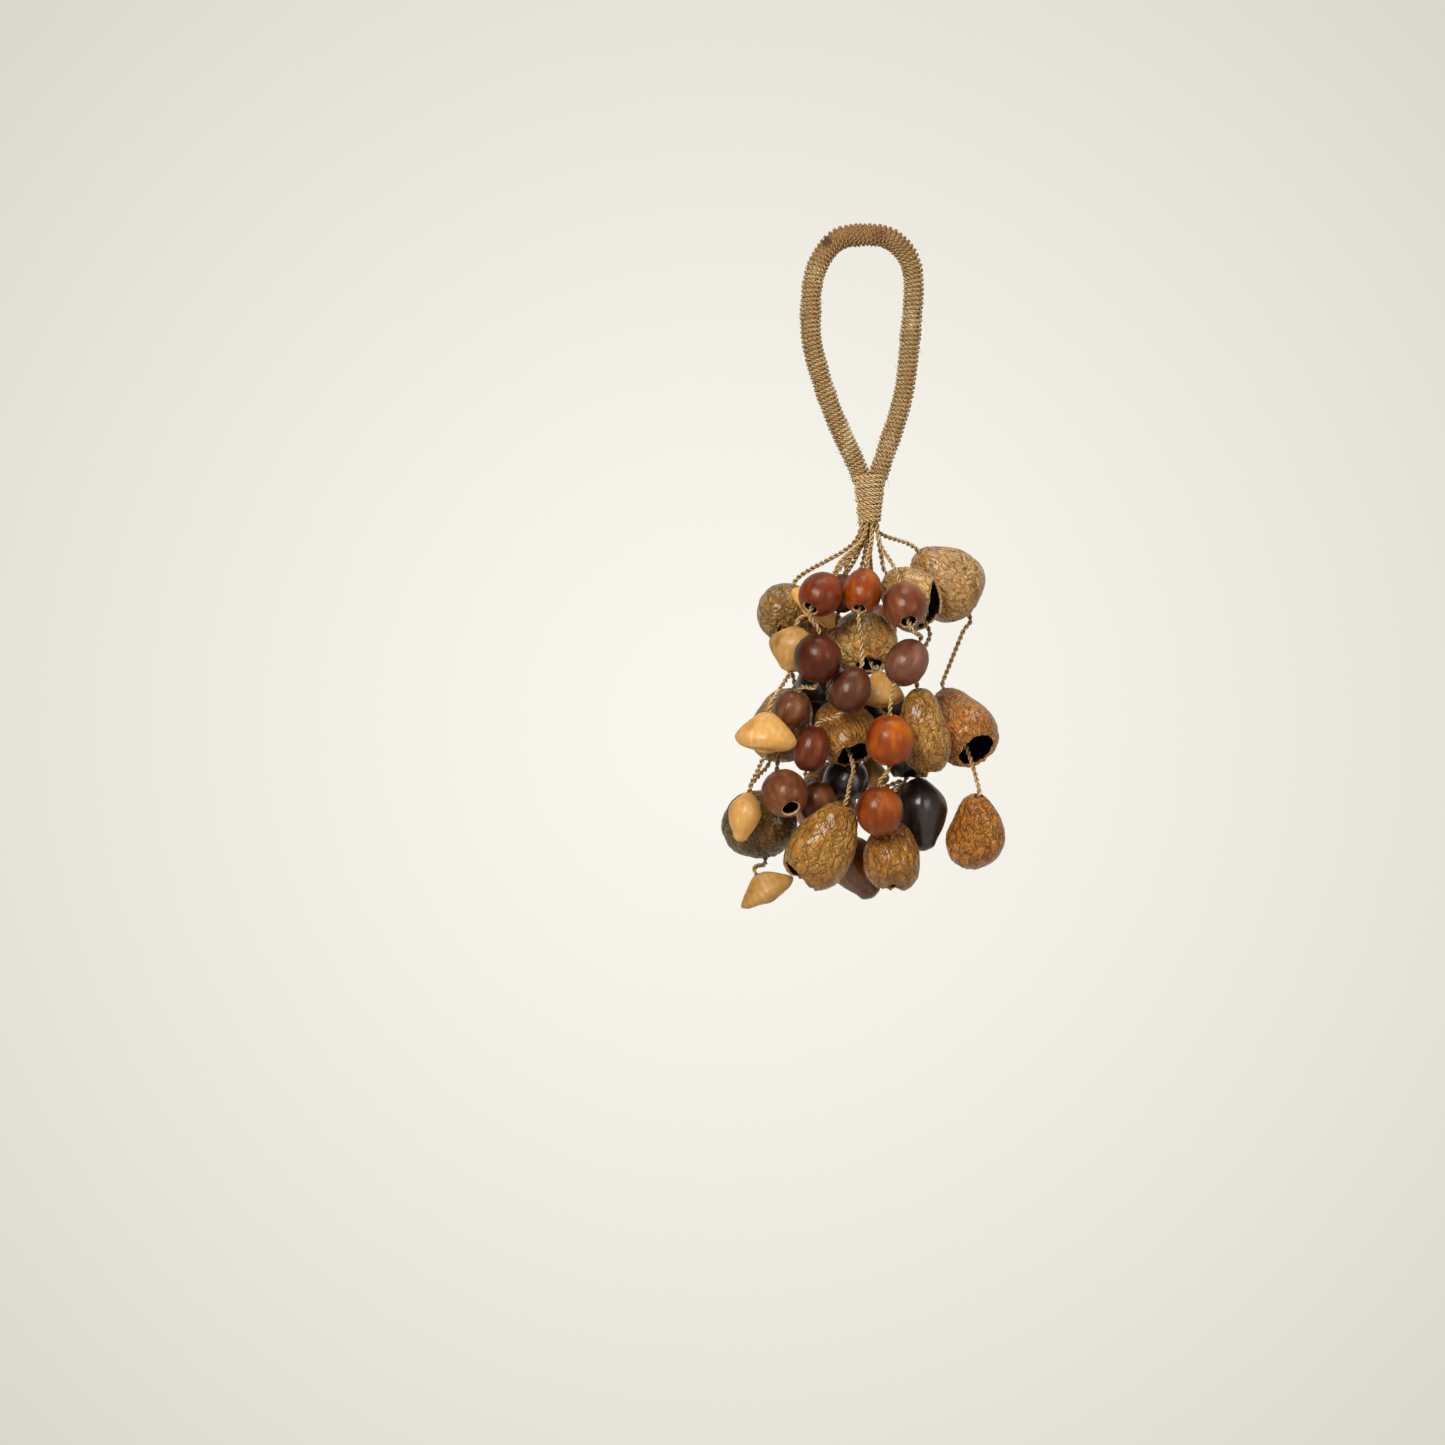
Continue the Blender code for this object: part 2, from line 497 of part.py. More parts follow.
def settle(nuts):
    """Moves overlapping nuts apart, mostly in depth, and lays the free runs of cord round them.

    It returns the runs with their points. A nut is taken as an ellipsoid here, and a cord as a row
    of balls. What is left over goes by the clearance between pieces.
    """
    names = list(nuts)
    unit = ball_points(60)
    turns = np.array([nuts[n].turn for n in names])
    half = np.array([nuts[n].half for n in names]) * 1.02 + CLEARANCE / 2
    home = np.array([nuts[n].home for n in names])
    place = home.copy()
    local = unit[None] * half[:, None]
    skin = np.einsum("nij,npj->npi", turns, local)
    ease = np.array((0.22, 1.0, 0.22))
    index = {n: i for i, n in enumerate(names)}
    runs = free_runs(nuts)
    lines = []
    for run in runs:
        start, end = run_ends(run, nuts)
        count = max(2, round(np.linalg.norm(end - start) / RUN_STEP))
        lines.append(hanging_line(run, start, end, count + 1))
    cord_room = CORD_RADIUS * 1.06 + CLEARANCE
    for step in range(SETTLE_ROUNDS):
        late = step > SETTLE_ROUNDS * 0.7
        push = np.zeros_like(place)
        for j in range(len(names)):
            offset = place[:, None] + skin - place[j]
            near = np.linalg.norm(place - place[j], axis=1) < half.max(axis=1) + half[j].max()
            near[j] = False
            which = np.nonzero(near)[0]
            if not len(which):
                continue
            spot = offset[which] @ turns[j]
            level = np.linalg.norm(spot / half[j], axis=2)
            deepest = level.argmin(axis=1)
            rows = np.arange(len(which))
            inside = level[rows, deepest]
            for k in np.nonzero(inside < 1)[0]:
                at = spot[k, deepest[k]]
                depth = np.linalg.norm(at) * (1 / max(inside[k], 0.2) - 1)
                normal = turns[j] @ (at / half[j] ** 2)
                normal /= np.linalg.norm(normal)
                way = ease * normal
                way /= np.linalg.norm(way)
                amount = min(0.003, depth / max(0.3, way @ normal))
                push[which[k]] += 0.5 * amount * way
                push[j] -= 0.5 * amount * way
        # Cords press nuts aside a little, and nuts press cords aside a lot
        for number, (run, line) in enumerate(zip(runs, lines)):
            start, end = run_ends(run, nuts)
            line += np.linspace(start - line[0], end - line[-1], len(line))
            free = hanging_line(run, start, end, len(line))
            bend = line - free
            bend[1:-1] += 0.25 * (bend[:-2] + bend[2:] - 2 * bend[1:-1])
            line[:] = free + bend
            line[0] = start
            line[-1] = end
            own = [index[n] for n in run[1:3] if n is not None]
            for j in range(len(names)):
                if np.linalg.norm(line - place[j], axis=1).min() > half[j].max() + 0.004:
                    continue
                grown = half[j] + cord_room
                spot = (line - place[j]) @ turns[j]
                level = np.linalg.norm(spot / grown, axis=1)
                if j in own:
                    level[0] = level[-1] = 1.0
                for k in np.nonzero(level < 1)[0]:
                    at = spot[k]
                    depth = np.linalg.norm(at) * (1 / max(level[k], 0.2) - 1)
                    normal = turns[j] @ (at / grown**2)
                    normal /= max(1e-12, np.linalg.norm(normal))
                    if 0 < k < len(line) - 1:
                        line[k] += 0.7 * min(0.004, depth) * normal
                        push[j] -= 0.10 * min(0.004, depth) * normal * ease
                    else:
                        push[j] -= 0.5 * min(0.004, depth) * normal
            for other in range(number):
                gap = line[:, None] - lines[other][None]
                far = np.linalg.norm(gap, axis=2)
                close = far < 2 * CORD_RADIUS + 2.0 * CLEARANCE
                for a, b in zip(*np.nonzero(close)):
                    way = gap[a, b] / max(1e-9, far[a, b])
                    amount = 0.5 * (2 * CORD_RADIUS + 2.0 * CLEARANCE - far[a, b])
                    if 0 < a < len(line) - 1:
                        line[a] += amount * way
                    if 0 < b < len(lines[other]) - 1:
                        lines[other][b] -= amount * way
        place += push
        if not late:
            place += 0.02 * (home - place)
        for name, spot in zip(names, place):
            nuts[name].place = spot
    return list(zip(runs, lines))


def make_nut(nut, collection):
    mesh = turned_mesh(nut.name, nut.outline, STEPS[nut.kind], not nut.hollow)
    shaped(mesh, nut.kind, nut.size, nut.order)
    matrix = Matrix.Translation(Vector(nut.place)) @ nut.matrix.to_4x4()
    roughness = {"shell": 0.45, "seed": 0.3, "husk": 0.25, "wedge": 0.55, "drop": 0.45}[nut.kind]
    obj = finished(nut.name, mesh, nut.colour, roughness, collection, matrix)
    if nut.hollow:
        wall = obj.modifiers.new("Wall", "SOLIDIFY")
        wall.thickness = WALLS[nut.kind]
        wall.offset = -1.0


def make_cord(name, settled, nuts, collection):
    """One cord from the neck through its nuts, with a knot under each nut's top or bottom."""
    seat, hung = CORDS[name]
    start = neck_seat(*seat)
    plain, knot = 1.0, KNOT_RADIUS / CORD_RADIUS
    path = [(start + np.array((0.0, 0.0, NECK_OVERLAP)), plain), (start, plain)]
    mine = [line for run, line in settled if run[0] == name]
    for line, nut_name in zip(mine, hung):
        nut = nuts[nut_name]
        every = max(1, round(CORD_STEP / RUN_STEP))
        stretch = [*line[:-1:every], line[-1]]
        if np.linalg.norm(stretch[-1] - stretch[-2]) < 0.4 * CORD_STEP and len(stretch) > 2:
            del stretch[-2]
        path += [(p, plain) for p in stretch]
        middle = nut.knot_middle()
        path.append((nut.world(0.0, 0.0, middle + KNOT_LENGTH / 2), plain))
        path.append((nut.world(0.0, 0.0, middle), knot))
        path.append((nut.world(0.0, 0.0, middle - KNOT_LENGTH / 2), plain))
        if nut_name == hung[-1] and nut.hollow:
            path.append((nut.world(0.0, 0.0, middle - KNOT_LENGTH * 1.5), plain))
    kept = [path[0]]
    for place, share in path[1:]:
        if np.linalg.norm(place - kept[-1][0]) > 0.0006:
            kept.append((place, share))
    cord = tube(name, [p for p, _ in kept], CORD_RADIUS, [s for _, s in kept], 2, True)
    collection.objects.link(cord)
    material_for(cord, CORD_STRAW, 0.8)


def main():
    clear_scene()
    collection = collection_for("Nutshell rattle")
    make_loop(collection)
    make_neck(collection)
    nuts = {name: Nut(name, order) for order, name in enumerate(NUTS)}
    settled = settle(nuts)
    for nut in nuts.values():
        make_nut(nut, collection)
    for name in CORDS:
        make_cord(name, settled, nuts, collection)


main()
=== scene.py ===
# %% [markdown]
# A nutshell rattle
#
# The real rattle is a bunch of dried nutshells, hard round seeds and flat-sided nuts. They are
# strung on twisted plant-fibre cords that hang from a cord loop, and they clack when it is shaken.
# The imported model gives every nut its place, its size and its cord. This lesson dresses them: it
# makes each nut's fine form and skin, twists the cords and winds the loop's wrapping turn by turn.

# %% Load the fixed frame
import json
import math

import bmesh
import bpy
import numpy as np
from mathutils import Euler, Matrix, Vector, noise


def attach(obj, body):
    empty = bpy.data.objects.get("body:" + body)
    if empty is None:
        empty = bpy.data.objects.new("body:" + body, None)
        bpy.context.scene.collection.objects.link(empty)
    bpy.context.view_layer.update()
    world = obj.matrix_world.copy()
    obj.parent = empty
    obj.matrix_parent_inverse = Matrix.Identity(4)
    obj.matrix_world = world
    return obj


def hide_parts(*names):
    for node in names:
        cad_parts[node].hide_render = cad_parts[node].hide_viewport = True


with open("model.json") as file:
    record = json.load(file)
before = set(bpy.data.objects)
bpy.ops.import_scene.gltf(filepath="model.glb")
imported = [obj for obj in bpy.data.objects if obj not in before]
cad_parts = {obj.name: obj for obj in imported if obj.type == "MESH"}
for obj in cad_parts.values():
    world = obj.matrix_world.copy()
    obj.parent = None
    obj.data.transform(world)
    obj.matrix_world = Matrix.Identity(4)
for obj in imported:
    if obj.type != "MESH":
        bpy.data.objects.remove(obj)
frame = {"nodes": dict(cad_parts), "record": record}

MM = 0.001
# Without a seed, Mathutils' noise vectors change with the clock
noise.seed_set(1)
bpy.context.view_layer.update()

# %% [markdown]
# Shader maths reads best as plain sums. A small class wraps a node socket and overloads the
# operators, so that a pattern such as `1 - crack * 0.4` adds its Math nodes by itself. Every other
# node comes from one method that sets the node's options first and its sockets after that. The same
# two classes build the Geometry Nodes trees further down.


# %% Node sums
class Value:
    """A node socket that takes part in Python sums."""

    def __init__(self, nodes, socket):
        self.nodes = nodes
        self.socket = socket

    def _sum(self, operation, first, second=None):
        sockets = {0: first}
        if second is not None:
            sockets[1] = second
        return self.nodes.node("ShaderNodeMath", {"operation": operation}, sockets)[0]

    def most(self, other):
        return self._sum("MAXIMUM", self, other)

    def sine(self):
        return self._sum("SINE", self)

    def cosine(self):
        return self._sum("COSINE", self)

    def ramp(self, low, high, start=0.0, end=1.0):
        """Goes smoothly from start to end as this value goes from low to high."""
        options = {"interpolation_type": "SMOOTHSTEP"}
        sockets = {"Value": self, "From Min": low, "From Max": high, "To Min": start, "To Max": end}
        return self.nodes.node("ShaderNodeMapRange", options, sockets)[0]


def operator(operation, reflected):
    """The method behind + or another sign; reflected is for a plain number on the left."""
    if reflected:
        return lambda value, other: value._sum(operation, other, value)
    return lambda value, other: value._sum(operation, value, other)


SIGNS = {"add": "ADD", "sub": "SUBTRACT", "mul": "MULTIPLY", "truediv": "DIVIDE", "pow": "POWER"}
for sign, operation in SIGNS.items():
    setattr(Value, f"__{sign}__", operator(operation, False))
    setattr(Value, f"__r{sign}__", operator(operation, True))


class Nodes:
    """A node tree that is written as sums and calls."""

    def __init__(self, tree):
        self.tree = tree

    def node(self, kind, options=None, sockets=None):
        """Adds a node and returns its outputs that are in use as values, in order."""
        made = self.tree.nodes.new(kind)
        for key, value in (options or {}).items():
            setattr(made, key, value)
        for key, value in (sockets or {}).items():
            self.plug(made.inputs[key], value)
        return [Value(self, out) for out in made.outputs if out.enabled]

    def named(self, kind, title, options=None):
        """Adds a node and returns its output of that name."""
        return next(value for value in self.node(kind, options) if value.socket.name == title)

    def vectors(self, operation, sockets):
        return self.node("ShaderNodeVectorMath", {"operation": operation}, sockets)[0]

    def plug(self, socket, value):
        if isinstance(value, Value):
            self.tree.links.new(value.socket, socket)
        elif isinstance(value, tuple) and len(value) == 3 and len(socket.default_value) == 4:
            socket.default_value = (*value, 1.0)
        else:
            socket.default_value = value


class Finish(Nodes):
    """One material."""

    def __init__(self, name):
        self.material = bpy.data.materials.new(name)
        self.material.use_nodes = True
        super().__init__(self.material.node_tree)
        self.shader = self.tree.nodes["Principled BSDF"]

    def set(self, **sockets):
        """Sets sockets of the Principled BSDF; an underscore stands for a space."""
        for key, value in sockets.items():
            self.plug(self.shader.inputs[key.replace("_", " ")], value)

    def number(self, name):
        """A number that the mesh carries at each corner."""
        return self.named("ShaderNodeAttribute", "Fac", {"attribute_name": name})

    def vector(self, name):
        """A vector that the mesh carries at each corner."""
        return self.named("ShaderNodeAttribute", "Vector", {"attribute_name": name})

    def place(self):
        return self.named("ShaderNodeTexCoord", "Object")

    def drawn(self, vector, share):
        """The vector squeezed along Z, so that a pattern on it is drawn out."""
        sockets = {"Vector": vector, "Scale": (1.0, 1.0, share)}
        return self.node("ShaderNodeMapping", {}, sockets)[0]

    def cloud(self, vector, scale, detail=3.0, rough=0.55):
        sockets = {"Vector": vector, "Scale": scale, "Detail": detail, "Roughness": rough}
        return self.node("ShaderNodeTexNoise", {}, sockets)[0]

    def cracks(self, vector, scale):
        """0 on the lines of a cracked net, and growing away from them."""
        sockets = {"Vector": vector, "Scale": scale}
        return self.node("ShaderNodeTexVoronoi", {"feature": "DISTANCE_TO_EDGE"}, sockets)[0]

    def mixed(self, share, first, second):
        """A colour between two others."""
        return self.node("ShaderNodeMix", {"data_type": "RGBA"}, {0: share, 6: first, 7: second})[0]

    def warped(self, vector, scale, amount):
        """The vector pushed about by a slow noise, so that a pattern on it wanders."""
        colour = self.node("ShaderNodeTexNoise", {}, {"Vector": vector, "Scale": scale})[1]
        push = self.vectors("SUBTRACT", {0: colour, 1: (0.5, 0.5, 0.5)})
        push = self.vectors("SCALE", {0: push, "Scale": amount})
        return self.vectors("ADD", {0: vector, 1: push})

    def near(self, place, spot, reach):
        """1 at a spot in mm, and nothing beyond its reach."""
        away = self.vectors("DISTANCE", {0: place, 1: tuple(v * MM for v in spot)})
        return away.ramp(reach * 0.3 * MM, reach * MM, 1.0, 0.0)

    def raised(self, height, strength, distance):
        sockets = {"Height": height, "Strength": strength, "Distance": distance}
        self.set(Normal=self.node("ShaderNodeBump", {}, sockets)[0])


# %% [markdown]
# The photograph looks straight at the rattle from the front through a long lens, against a soft
# cream wall. Half a millimetre of the rattle fills one pixel of it, so the camera stands where the
# whole picture, 1445 pixels wide, spans 722.5 mm at the loop.

# %% Camera
PIXEL = 0.0005
PICTURE = 1445
LOOP_PIXEL = (862, 246)
CAMERA_AWAY = 3.0
SENSOR = 36.0

picture_side = PICTURE * PIXEL
middle_x = (PICTURE / 2 - LOOP_PIXEL[0]) * PIXEL
middle_z = -(PICTURE / 2 - LOOP_PIXEL[1]) * PIXEL

lens_data = bpy.data.cameras.new("front_camera")
lens_data.sensor_width = SENSOR
lens_data.lens = SENSOR * CAMERA_AWAY / picture_side
lens_data.clip_end = 30.0
camera = bpy.data.objects.new("front_camera", lens_data)
camera.location = (middle_x, -CAMERA_AWAY, middle_z)
camera.rotation_euler = (math.radians(90), 0.0, 0.0)
bpy.context.scene.collection.objects.link(camera)
bpy.context.scene.camera = camera

print("camera at", [round(v, 3) for v in camera.location], "lens", round(lens_data.lens, 1))

# %% [markdown]
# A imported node's mesh is loose triangles. In a copy with its doubled corners merged, a tube shows
# the rings of corners that it was swept in: starting at one end's ring, the corners one edge away
# are the next ring. The middle of each ring is a point of the cord's line, so the twisted cords
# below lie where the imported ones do.


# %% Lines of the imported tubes
def merged_corners(node):
    """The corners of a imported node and, for each, the corners that an edge joins it to."""
    mesh = bmesh.new()
    mesh.from_mesh(frame["nodes"][node].data)
    bmesh.ops.remove_doubles(mesh, verts=mesh.verts, dist=1e-6)
    mesh.verts.index_update()
    points = np.array([v.co for v in mesh.verts])
    joined = [{e.other_vert(v).index for e in v.link_edges} for v in mesh.verts]
    mesh.free()
    return points, joined


def tube_line(node, first_ring):
    """The middles and the radii of a packed tube's rings, from its first ring on."""
    points, joined = merged_corners(node)
    ring = set(np.nonzero(first_ring(points))[0].tolist())
    seen = set(ring)
    middles, radii = [], []
    while ring:
        corners = points[sorted(ring)]
        middle = corners.mean(axis=0)
        middles.append(middle)
        radii.append(float(np.linalg.norm(corners - middle, axis=1).mean()))
        ring = set().union(*(joined[i] for i in ring)) - seen
        seen |= ring
    return np.array(middles), np.array(radii)


def smoothed(points, numbers, spacing):
    """Points about a spacing apart on a smooth curve through the given ones, with their numbers."""
    ends = np.vstack((2 * points[0] - points[1], points, 2 * points[-1] - points[-2]))
    line, carried = [], []
    for i in range(len(points) - 1):
        before, start, end, after = ends[i : i + 4]
        count = max(1, round(float(np.linalg.norm(end - start)) / spacing))
        for t in np.arange(count) / count:
            bend = (2 * before - 5 * start + 4 * end - after) * (t * t)
            twist = (3 * start - before - 3 * end + after) * (t * t * t)
            line.append(0.5 * (2 * start + (end - before) * t + bend + twist))
            carried.append(numbers[i] + (numbers[i + 1] - numbers[i]) * t)
    return np.array([*line, points[-1]]), np.array([*carried, numbers[-1]])


def line_length(points):
    return float(np.linalg.norm(np.diff(points, axis=0), axis=1).sum())


CORD_RADIUS = 1.1 * MM
cord_names = sorted(name for name in frame["nodes"] if name.startswith("cord_"))
cord_lines = {}
for name in cord_names:
    rings, radii = tube_line(name, lambda points: points[:, 2] > points[:, 2].max() - 1e-5)
    line, swell = smoothed(rings, radii / CORD_RADIUS, 1.0 * MM)
    # Each round draws a point halfway to its neighbours' middle, which eases sharp bends
    for _ in range(8):
        line[1:-1] = (line[:-2] + 2 * line[1:-1] + line[2:]) / 4
    cord_lines[name] = line, swell
print("cords:", {n: round(line_length(line) * 1000) for n, (line, _) in cord_lines.items()})

# %% [markdown]
# The cords are two plies of plant fibre twisted round each other, and the loop and the neck are the
# same kind of cord wound round a core. Two small Geometry Nodes trees make both. The first sweeps a
# profile of two circles along a line and tilts it as it goes, which is what twisting does. The
# other does the same once it has moved the line's points round their axis into a coil. Both leave
# on the mesh the way along the cord, the way round the ply and which ply it is, and the fibres'
# streaks are drawn with these.


# %% Trees for twisted and wound cord
class Recipe(Nodes):
    """A Geometry Nodes tree with named inputs."""

    def __init__(self, name, inputs):
        super().__init__(bpy.data.node_groups.new(name, "GeometryNodeTree"))
        face = self.tree.interface
        face.new_socket("Geometry", in_out="INPUT", socket_type="NodeSocketGeometry")
        face.new_socket("Geometry", in_out="OUTPUT", socket_type="NodeSocketGeometry")
        for title, kind in inputs.items():
            face.new_socket(title, in_out="INPUT", socket_type="NodeSocket" + kind)
        self.given = {value.socket.name: value for value in self.node("NodeGroupInput")}

    def done(self, geometry):
        real = self.node("GeometryNodeRealizeInstances", {}, {"Geometry": geometry})[0]
        sockets = {"Geometry": real, "Material": self.given["Finish"]}
        dressed = self.node("GeometryNodeSetMaterial", {}, sockets)[0]
        self.node("NodeGroupOutput", {}, {"Geometry": dressed})

    def stored(self, geometry, name, value):
        sockets = {"Geometry": geometry, "Name": name, "Value": value}
        return self.node("GeometryNodeStoreNamedAttribute", {}, sockets)[0]

    def evened(self, line, step):
        """The line with its points a step apart."""
        sockets = {"Curve": line, "Length": step}
        return self.node("GeometryNodeResampleCurve", {"mode": "LENGTH"}, sockets)[0]

    def twisted(self, line):
        """Two plies swept along the line and twisted round it."""
        along = self.named("GeometryNodeSplineParameter", "Length")
        line = self.stored(line, "along", along)
        turn = along / self.given["Lay"] * (2 * math.pi)
        line = self.node("GeometryNodeSetCurveTilt", {}, {"Curve": line, "Tilt": turn})[0]
        swell = self.node("GeometryNodeInputNamedAttribute", {}, {"Name": "swell"})[0]
        line = self.node("GeometryNodeSetCurveRadius", {}, {"Curve": line, "Radius": swell})[0]
        ring = {"Resolution": self.given["Sides"], "Radius": self.given["Ply radius"]}
        circle = self.node("GeometryNodeCurvePrimitiveCircle", {}, ring)[0]
        part = self.node("GeometryNodeSplineParameter")[0]
        circle = self.stored(circle, "around", part)
        plies = []
        for side in (1, -1):
            # A little under the radius, so that the plies press into each other
            aside = self.given["Ply radius"] * (0.92 * side)
            middle = self.node("ShaderNodeCombineXYZ", {}, {0: aside})
            sockets = {"Geometry": circle, "Translation": middle[0]}
            ply = self.node("GeometryNodeTransform", {}, sockets)[0]
            plies.append(self.stored(ply, "ply", float(side)))
        joined = self.node("GeometryNodeJoinGeometry")[0]
        for ply in reversed(plies):
            self.tree.links.new(ply.socket, joined.socket.node.inputs[0])
        sockets = {"Curve": line, "Profile Curve": joined, "Fill Caps": True}
        return self.node("GeometryNodeCurveToMesh", {}, sockets)[0]


CORD_INPUTS = dict.fromkeys(("Lay", "Step", "Ply radius"), "Float")
CORD_INPUTS |= {"Sides": "Int", "Finish": "Material"}
twist = Recipe("twisted_cord", CORD_INPUTS)
straight = twist.node("GeometryNodeMeshToCurve", {}, {"Mesh": twist.given["Geometry"]})[0]
twist.done(twist.twisted(twist.evened(straight, twist.given["Step"])))

wind = Recipe("wound_cord", CORD_INPUTS | {"Pitch": "Float"})
axis = wind.node("GeometryNodeMeshToCurve", {}, {"Mesh": wind.given["Geometry"]})[0]
axis = wind.evened(axis, wind.given["Step"])
angle = wind.named("GeometryNodeSplineParameter", "Length") / wind.given["Pitch"] * (2 * math.pi)
reach = wind.node("GeometryNodeInputNamedAttribute", {}, {"Name": "reach"})[0]
normal = wind.node("GeometryNodeInputNormal")[0]
tangent = wind.node("GeometryNodeInputTangent")[0]
third = wind.vectors("CROSS_PRODUCT", {0: tangent, 1: normal})
spokes = []
for way, share in ((normal, angle.cosine() * reach), (third, angle.sine() * reach)):
    spokes.append(wind.vectors("SCALE", {0: way, "Scale": share}))
offset = wind.vectors("ADD", {0: spokes[0], 1: spokes[1]})
coil = wind.node("GeometryNodeSetPosition", {}, {"Geometry": axis, "Offset": offset})[0]
wind.done(wind.twisted(coil))


def number_corners(mesh, numbers):
    for title, row in numbers.items():
        values = np.float32(row).ravel()
        mesh.attributes.new(title, "FLOAT", "POINT").data.foreach_set("value", values)


def grown(name, line, numbers, recipe, **values):
    """A mesh that a tree makes along a line; numbers are what the line's points carry."""
    mesh = bpy.data.meshes.new(name + "_line")
    mesh.from_pydata([tuple(p) for p in line], [(i, i + 1) for i in range(len(line) - 1)], [])
    number_corners(mesh, numbers)
    source = bpy.data.objects.new(name + "_line", mesh)
    bpy.context.scene.collection.objects.link(source)
    modifier = source.modifiers.new("Tree", "NODES")
    modifier.node_group = recipe.tree
    for item in recipe.tree.interface.items_tree:
        title = item.name.replace(" ", "_").lower()
        if item.in_out == "INPUT" and title in values:
            modifier[item.identifier] = values[title]
    found = source.evaluated_get(bpy.context.evaluated_depsgraph_get())
    made = bpy.data.meshes.new_from_object(found)
    made.name = name
    bpy.data.objects.remove(source, do_unlink=True)
    bpy.data.meshes.remove(mesh)
    outward = bmesh.new()
    outward.from_mesh(made)
    bmesh.ops.recalc_face_normals(outward, faces=outward.faces)
    outward.to_mesh(made)
    outward.free()
    made.shade_smooth()
    return made


# %% [markdown]
# Dry plant fibre is pale straw with darker strands along each ply. The streaks come from a noise
# that is squeezed along the cord, so that each strand runs a long way before it ends.

# %% Cord finish
def picked(red, green, blue):
    """A colour picked off the photograph, 0 to 255, as the linear colour that Blender takes."""
    row = []
    for share in (red / 255, green / 255, blue / 255):
        row.append(share / 12.92 if share < 0.04045 else ((share + 0.055) / 1.055) ** 2.4)
    return tuple(row)


# Where a stain is and how far it reaches, in mm, how strong it is, and its colour
CROWN_STAINS = (
    ((-18.0, -4.0, 2.0), 4.5, 0.8, (74, 46, 28)),
    ((8.5, -5.0, 6.0), 5.0, 0.6, (128, 66, 36)),
)


def fibre_finish(name, pale, middle, dark, crown=None):
    """Dry fibre; crown is the shade that the top of the loop has taken from many hands."""
    finish = Finish(name)
    along = finish.number("along")
    around = finish.number("around")
    ply = finish.number("ply")
    turn = around * (2 * math.pi)
    ring = {0: turn.cosine() * 3.2 + ply * 7.0, 1: turn.sine() * 3.2, 2: along * 260.0}
    strands = finish.node("ShaderNodeCombineXYZ", {}, ring)[0]
    streak = finish.cloud(strands, 2.4, 3.0, 0.6)
    place = finish.place()
    patch = finish.cloud(place, 90.0, 2.0)
    colour = finish.mixed(streak.ramp(0.40, 0.60), dark, middle)
    colour = finish.mixed((streak * 0.6 + patch * 0.4).ramp(0.48, 0.66), colour, pale)
    # Painted shade: each ply is darkened on the side that faces the other ply, where they press
    # together
    painted_groove_shade = (turn.cosine() * ply * -1.0).ramp(-0.25, 0.75)
    colour = finish.mixed(painted_groove_shade * 0.65, colour, picked(52, 30, 10))
    if crown:
        height = finish.node("ShaderNodeSeparateXYZ", {}, {0: place})[2]
        worn = (height + patch * (16.0 * MM)).ramp(-6.0 * MM, 12.0 * MM)
        colour = finish.mixed(worn * 0.75, colour, crown)
        for spot, reach, share, stain in CROWN_STAINS:
            colour = finish.mixed(finish.near(place, spot, reach) * share, colour, picked(*stain))
    finish.set(Base_Color=colour, Roughness=0.78)
    finish.raised(streak, 0.8, 0.0003)
    return finish.material


FIBRES = {
    "straw_cord": ((255, 230, 172), (240, 196, 122), (156, 106, 50)),
    "khaki_wrapping": ((255, 228, 174), (230, 190, 126), (142, 104, 54), (152, 108, 60)),
    # The binding's colours are a lighter copy of the wrapping's, as painted light that makes up for
    # the shade in the neck's turns
    "bright_binding": ((255, 242, 206), (255, 224, 160), (196, 146, 84)),
}
straw, khaki, bright = (
    fibre_finish(name, *(picked(*colour) for colour in colours)) for name, colours in FIBRES.items()
)


def shown(name, mesh, slot, *nodes):
    """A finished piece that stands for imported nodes."""
    piece = bpy.data.objects.new(name, mesh)
    bpy.context.scene.collection.objects.link(piece)
    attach(piece, "root")
    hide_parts(*nodes)
    return piece


def triangles(mesh):
    return sum(len(face.vertices) - 2 for face in mesh.polygons)


CORD_PLY = 0.66 * MM
CORD_TREE = dict(lay=6.4 * MM, step=0.55 * MM, ply_radius=CORD_PLY, sides=7, finish=straw)
total = 0
for name, (line, swell) in cord_lines.items():
    mesh = grown(name + "_plies", line, {"swell": swell}, twist, **CORD_TREE)
    piece = shown(name + "_twisted", mesh, "cord_straw", name)
    total += triangles(mesh)
print("twisted cords:", total, "triangles")

# %% [markdown]
# The loop is a core of cord with a finer cord wound round it, turn against turn. The winding's
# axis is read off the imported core, and its reach falls from the thick crown to the slimmer arms.
# A plain sleeve under the turns closes the gaps that open on the outside of a bend.

# %% The wound loop
LOOP_WIDTH = 51.5 * MM
CROWN_RADIUS = 5.5 * MM
ARM_RADIUS = 4.9 * MM
NECK_X = 3.6 * MM
NECK_TOP = -115.0 * MM
NECK_LENGTH = 24.0 * MM
WRAP_PLY = 0.58 * MM
WRAP_PITCH = 2.22 * MM


def left_end(points):
    low = points[:, 2] < points[:, 2].min() + 1e-5
    return low & (points[:, 0] < NECK_X)


core_rings, _ = tube_line("loop_core", left_end)
core_line, _ = smoothed(core_rings, np.ones(len(core_rings)), 0.5 * MM)
above = core_line[core_line[:, 2] > NECK_TOP - 2.0 * MM]
down = np.clip((CROWN_RADIUS - above[:, 2]) / (LOOP_WIDTH / 2), 0.0, 1.0)
loop_reach = CROWN_RADIUS + (ARM_RADIUS - CROWN_RADIUS) * down - 1.1 * WRAP_PLY
wander = np.array([noise.noise(Vector(p) * 140.0) + noise.noise(Vector(p) * 420.0) for p in above])
loop_reach = loop_reach + wander * 0.28 * MM
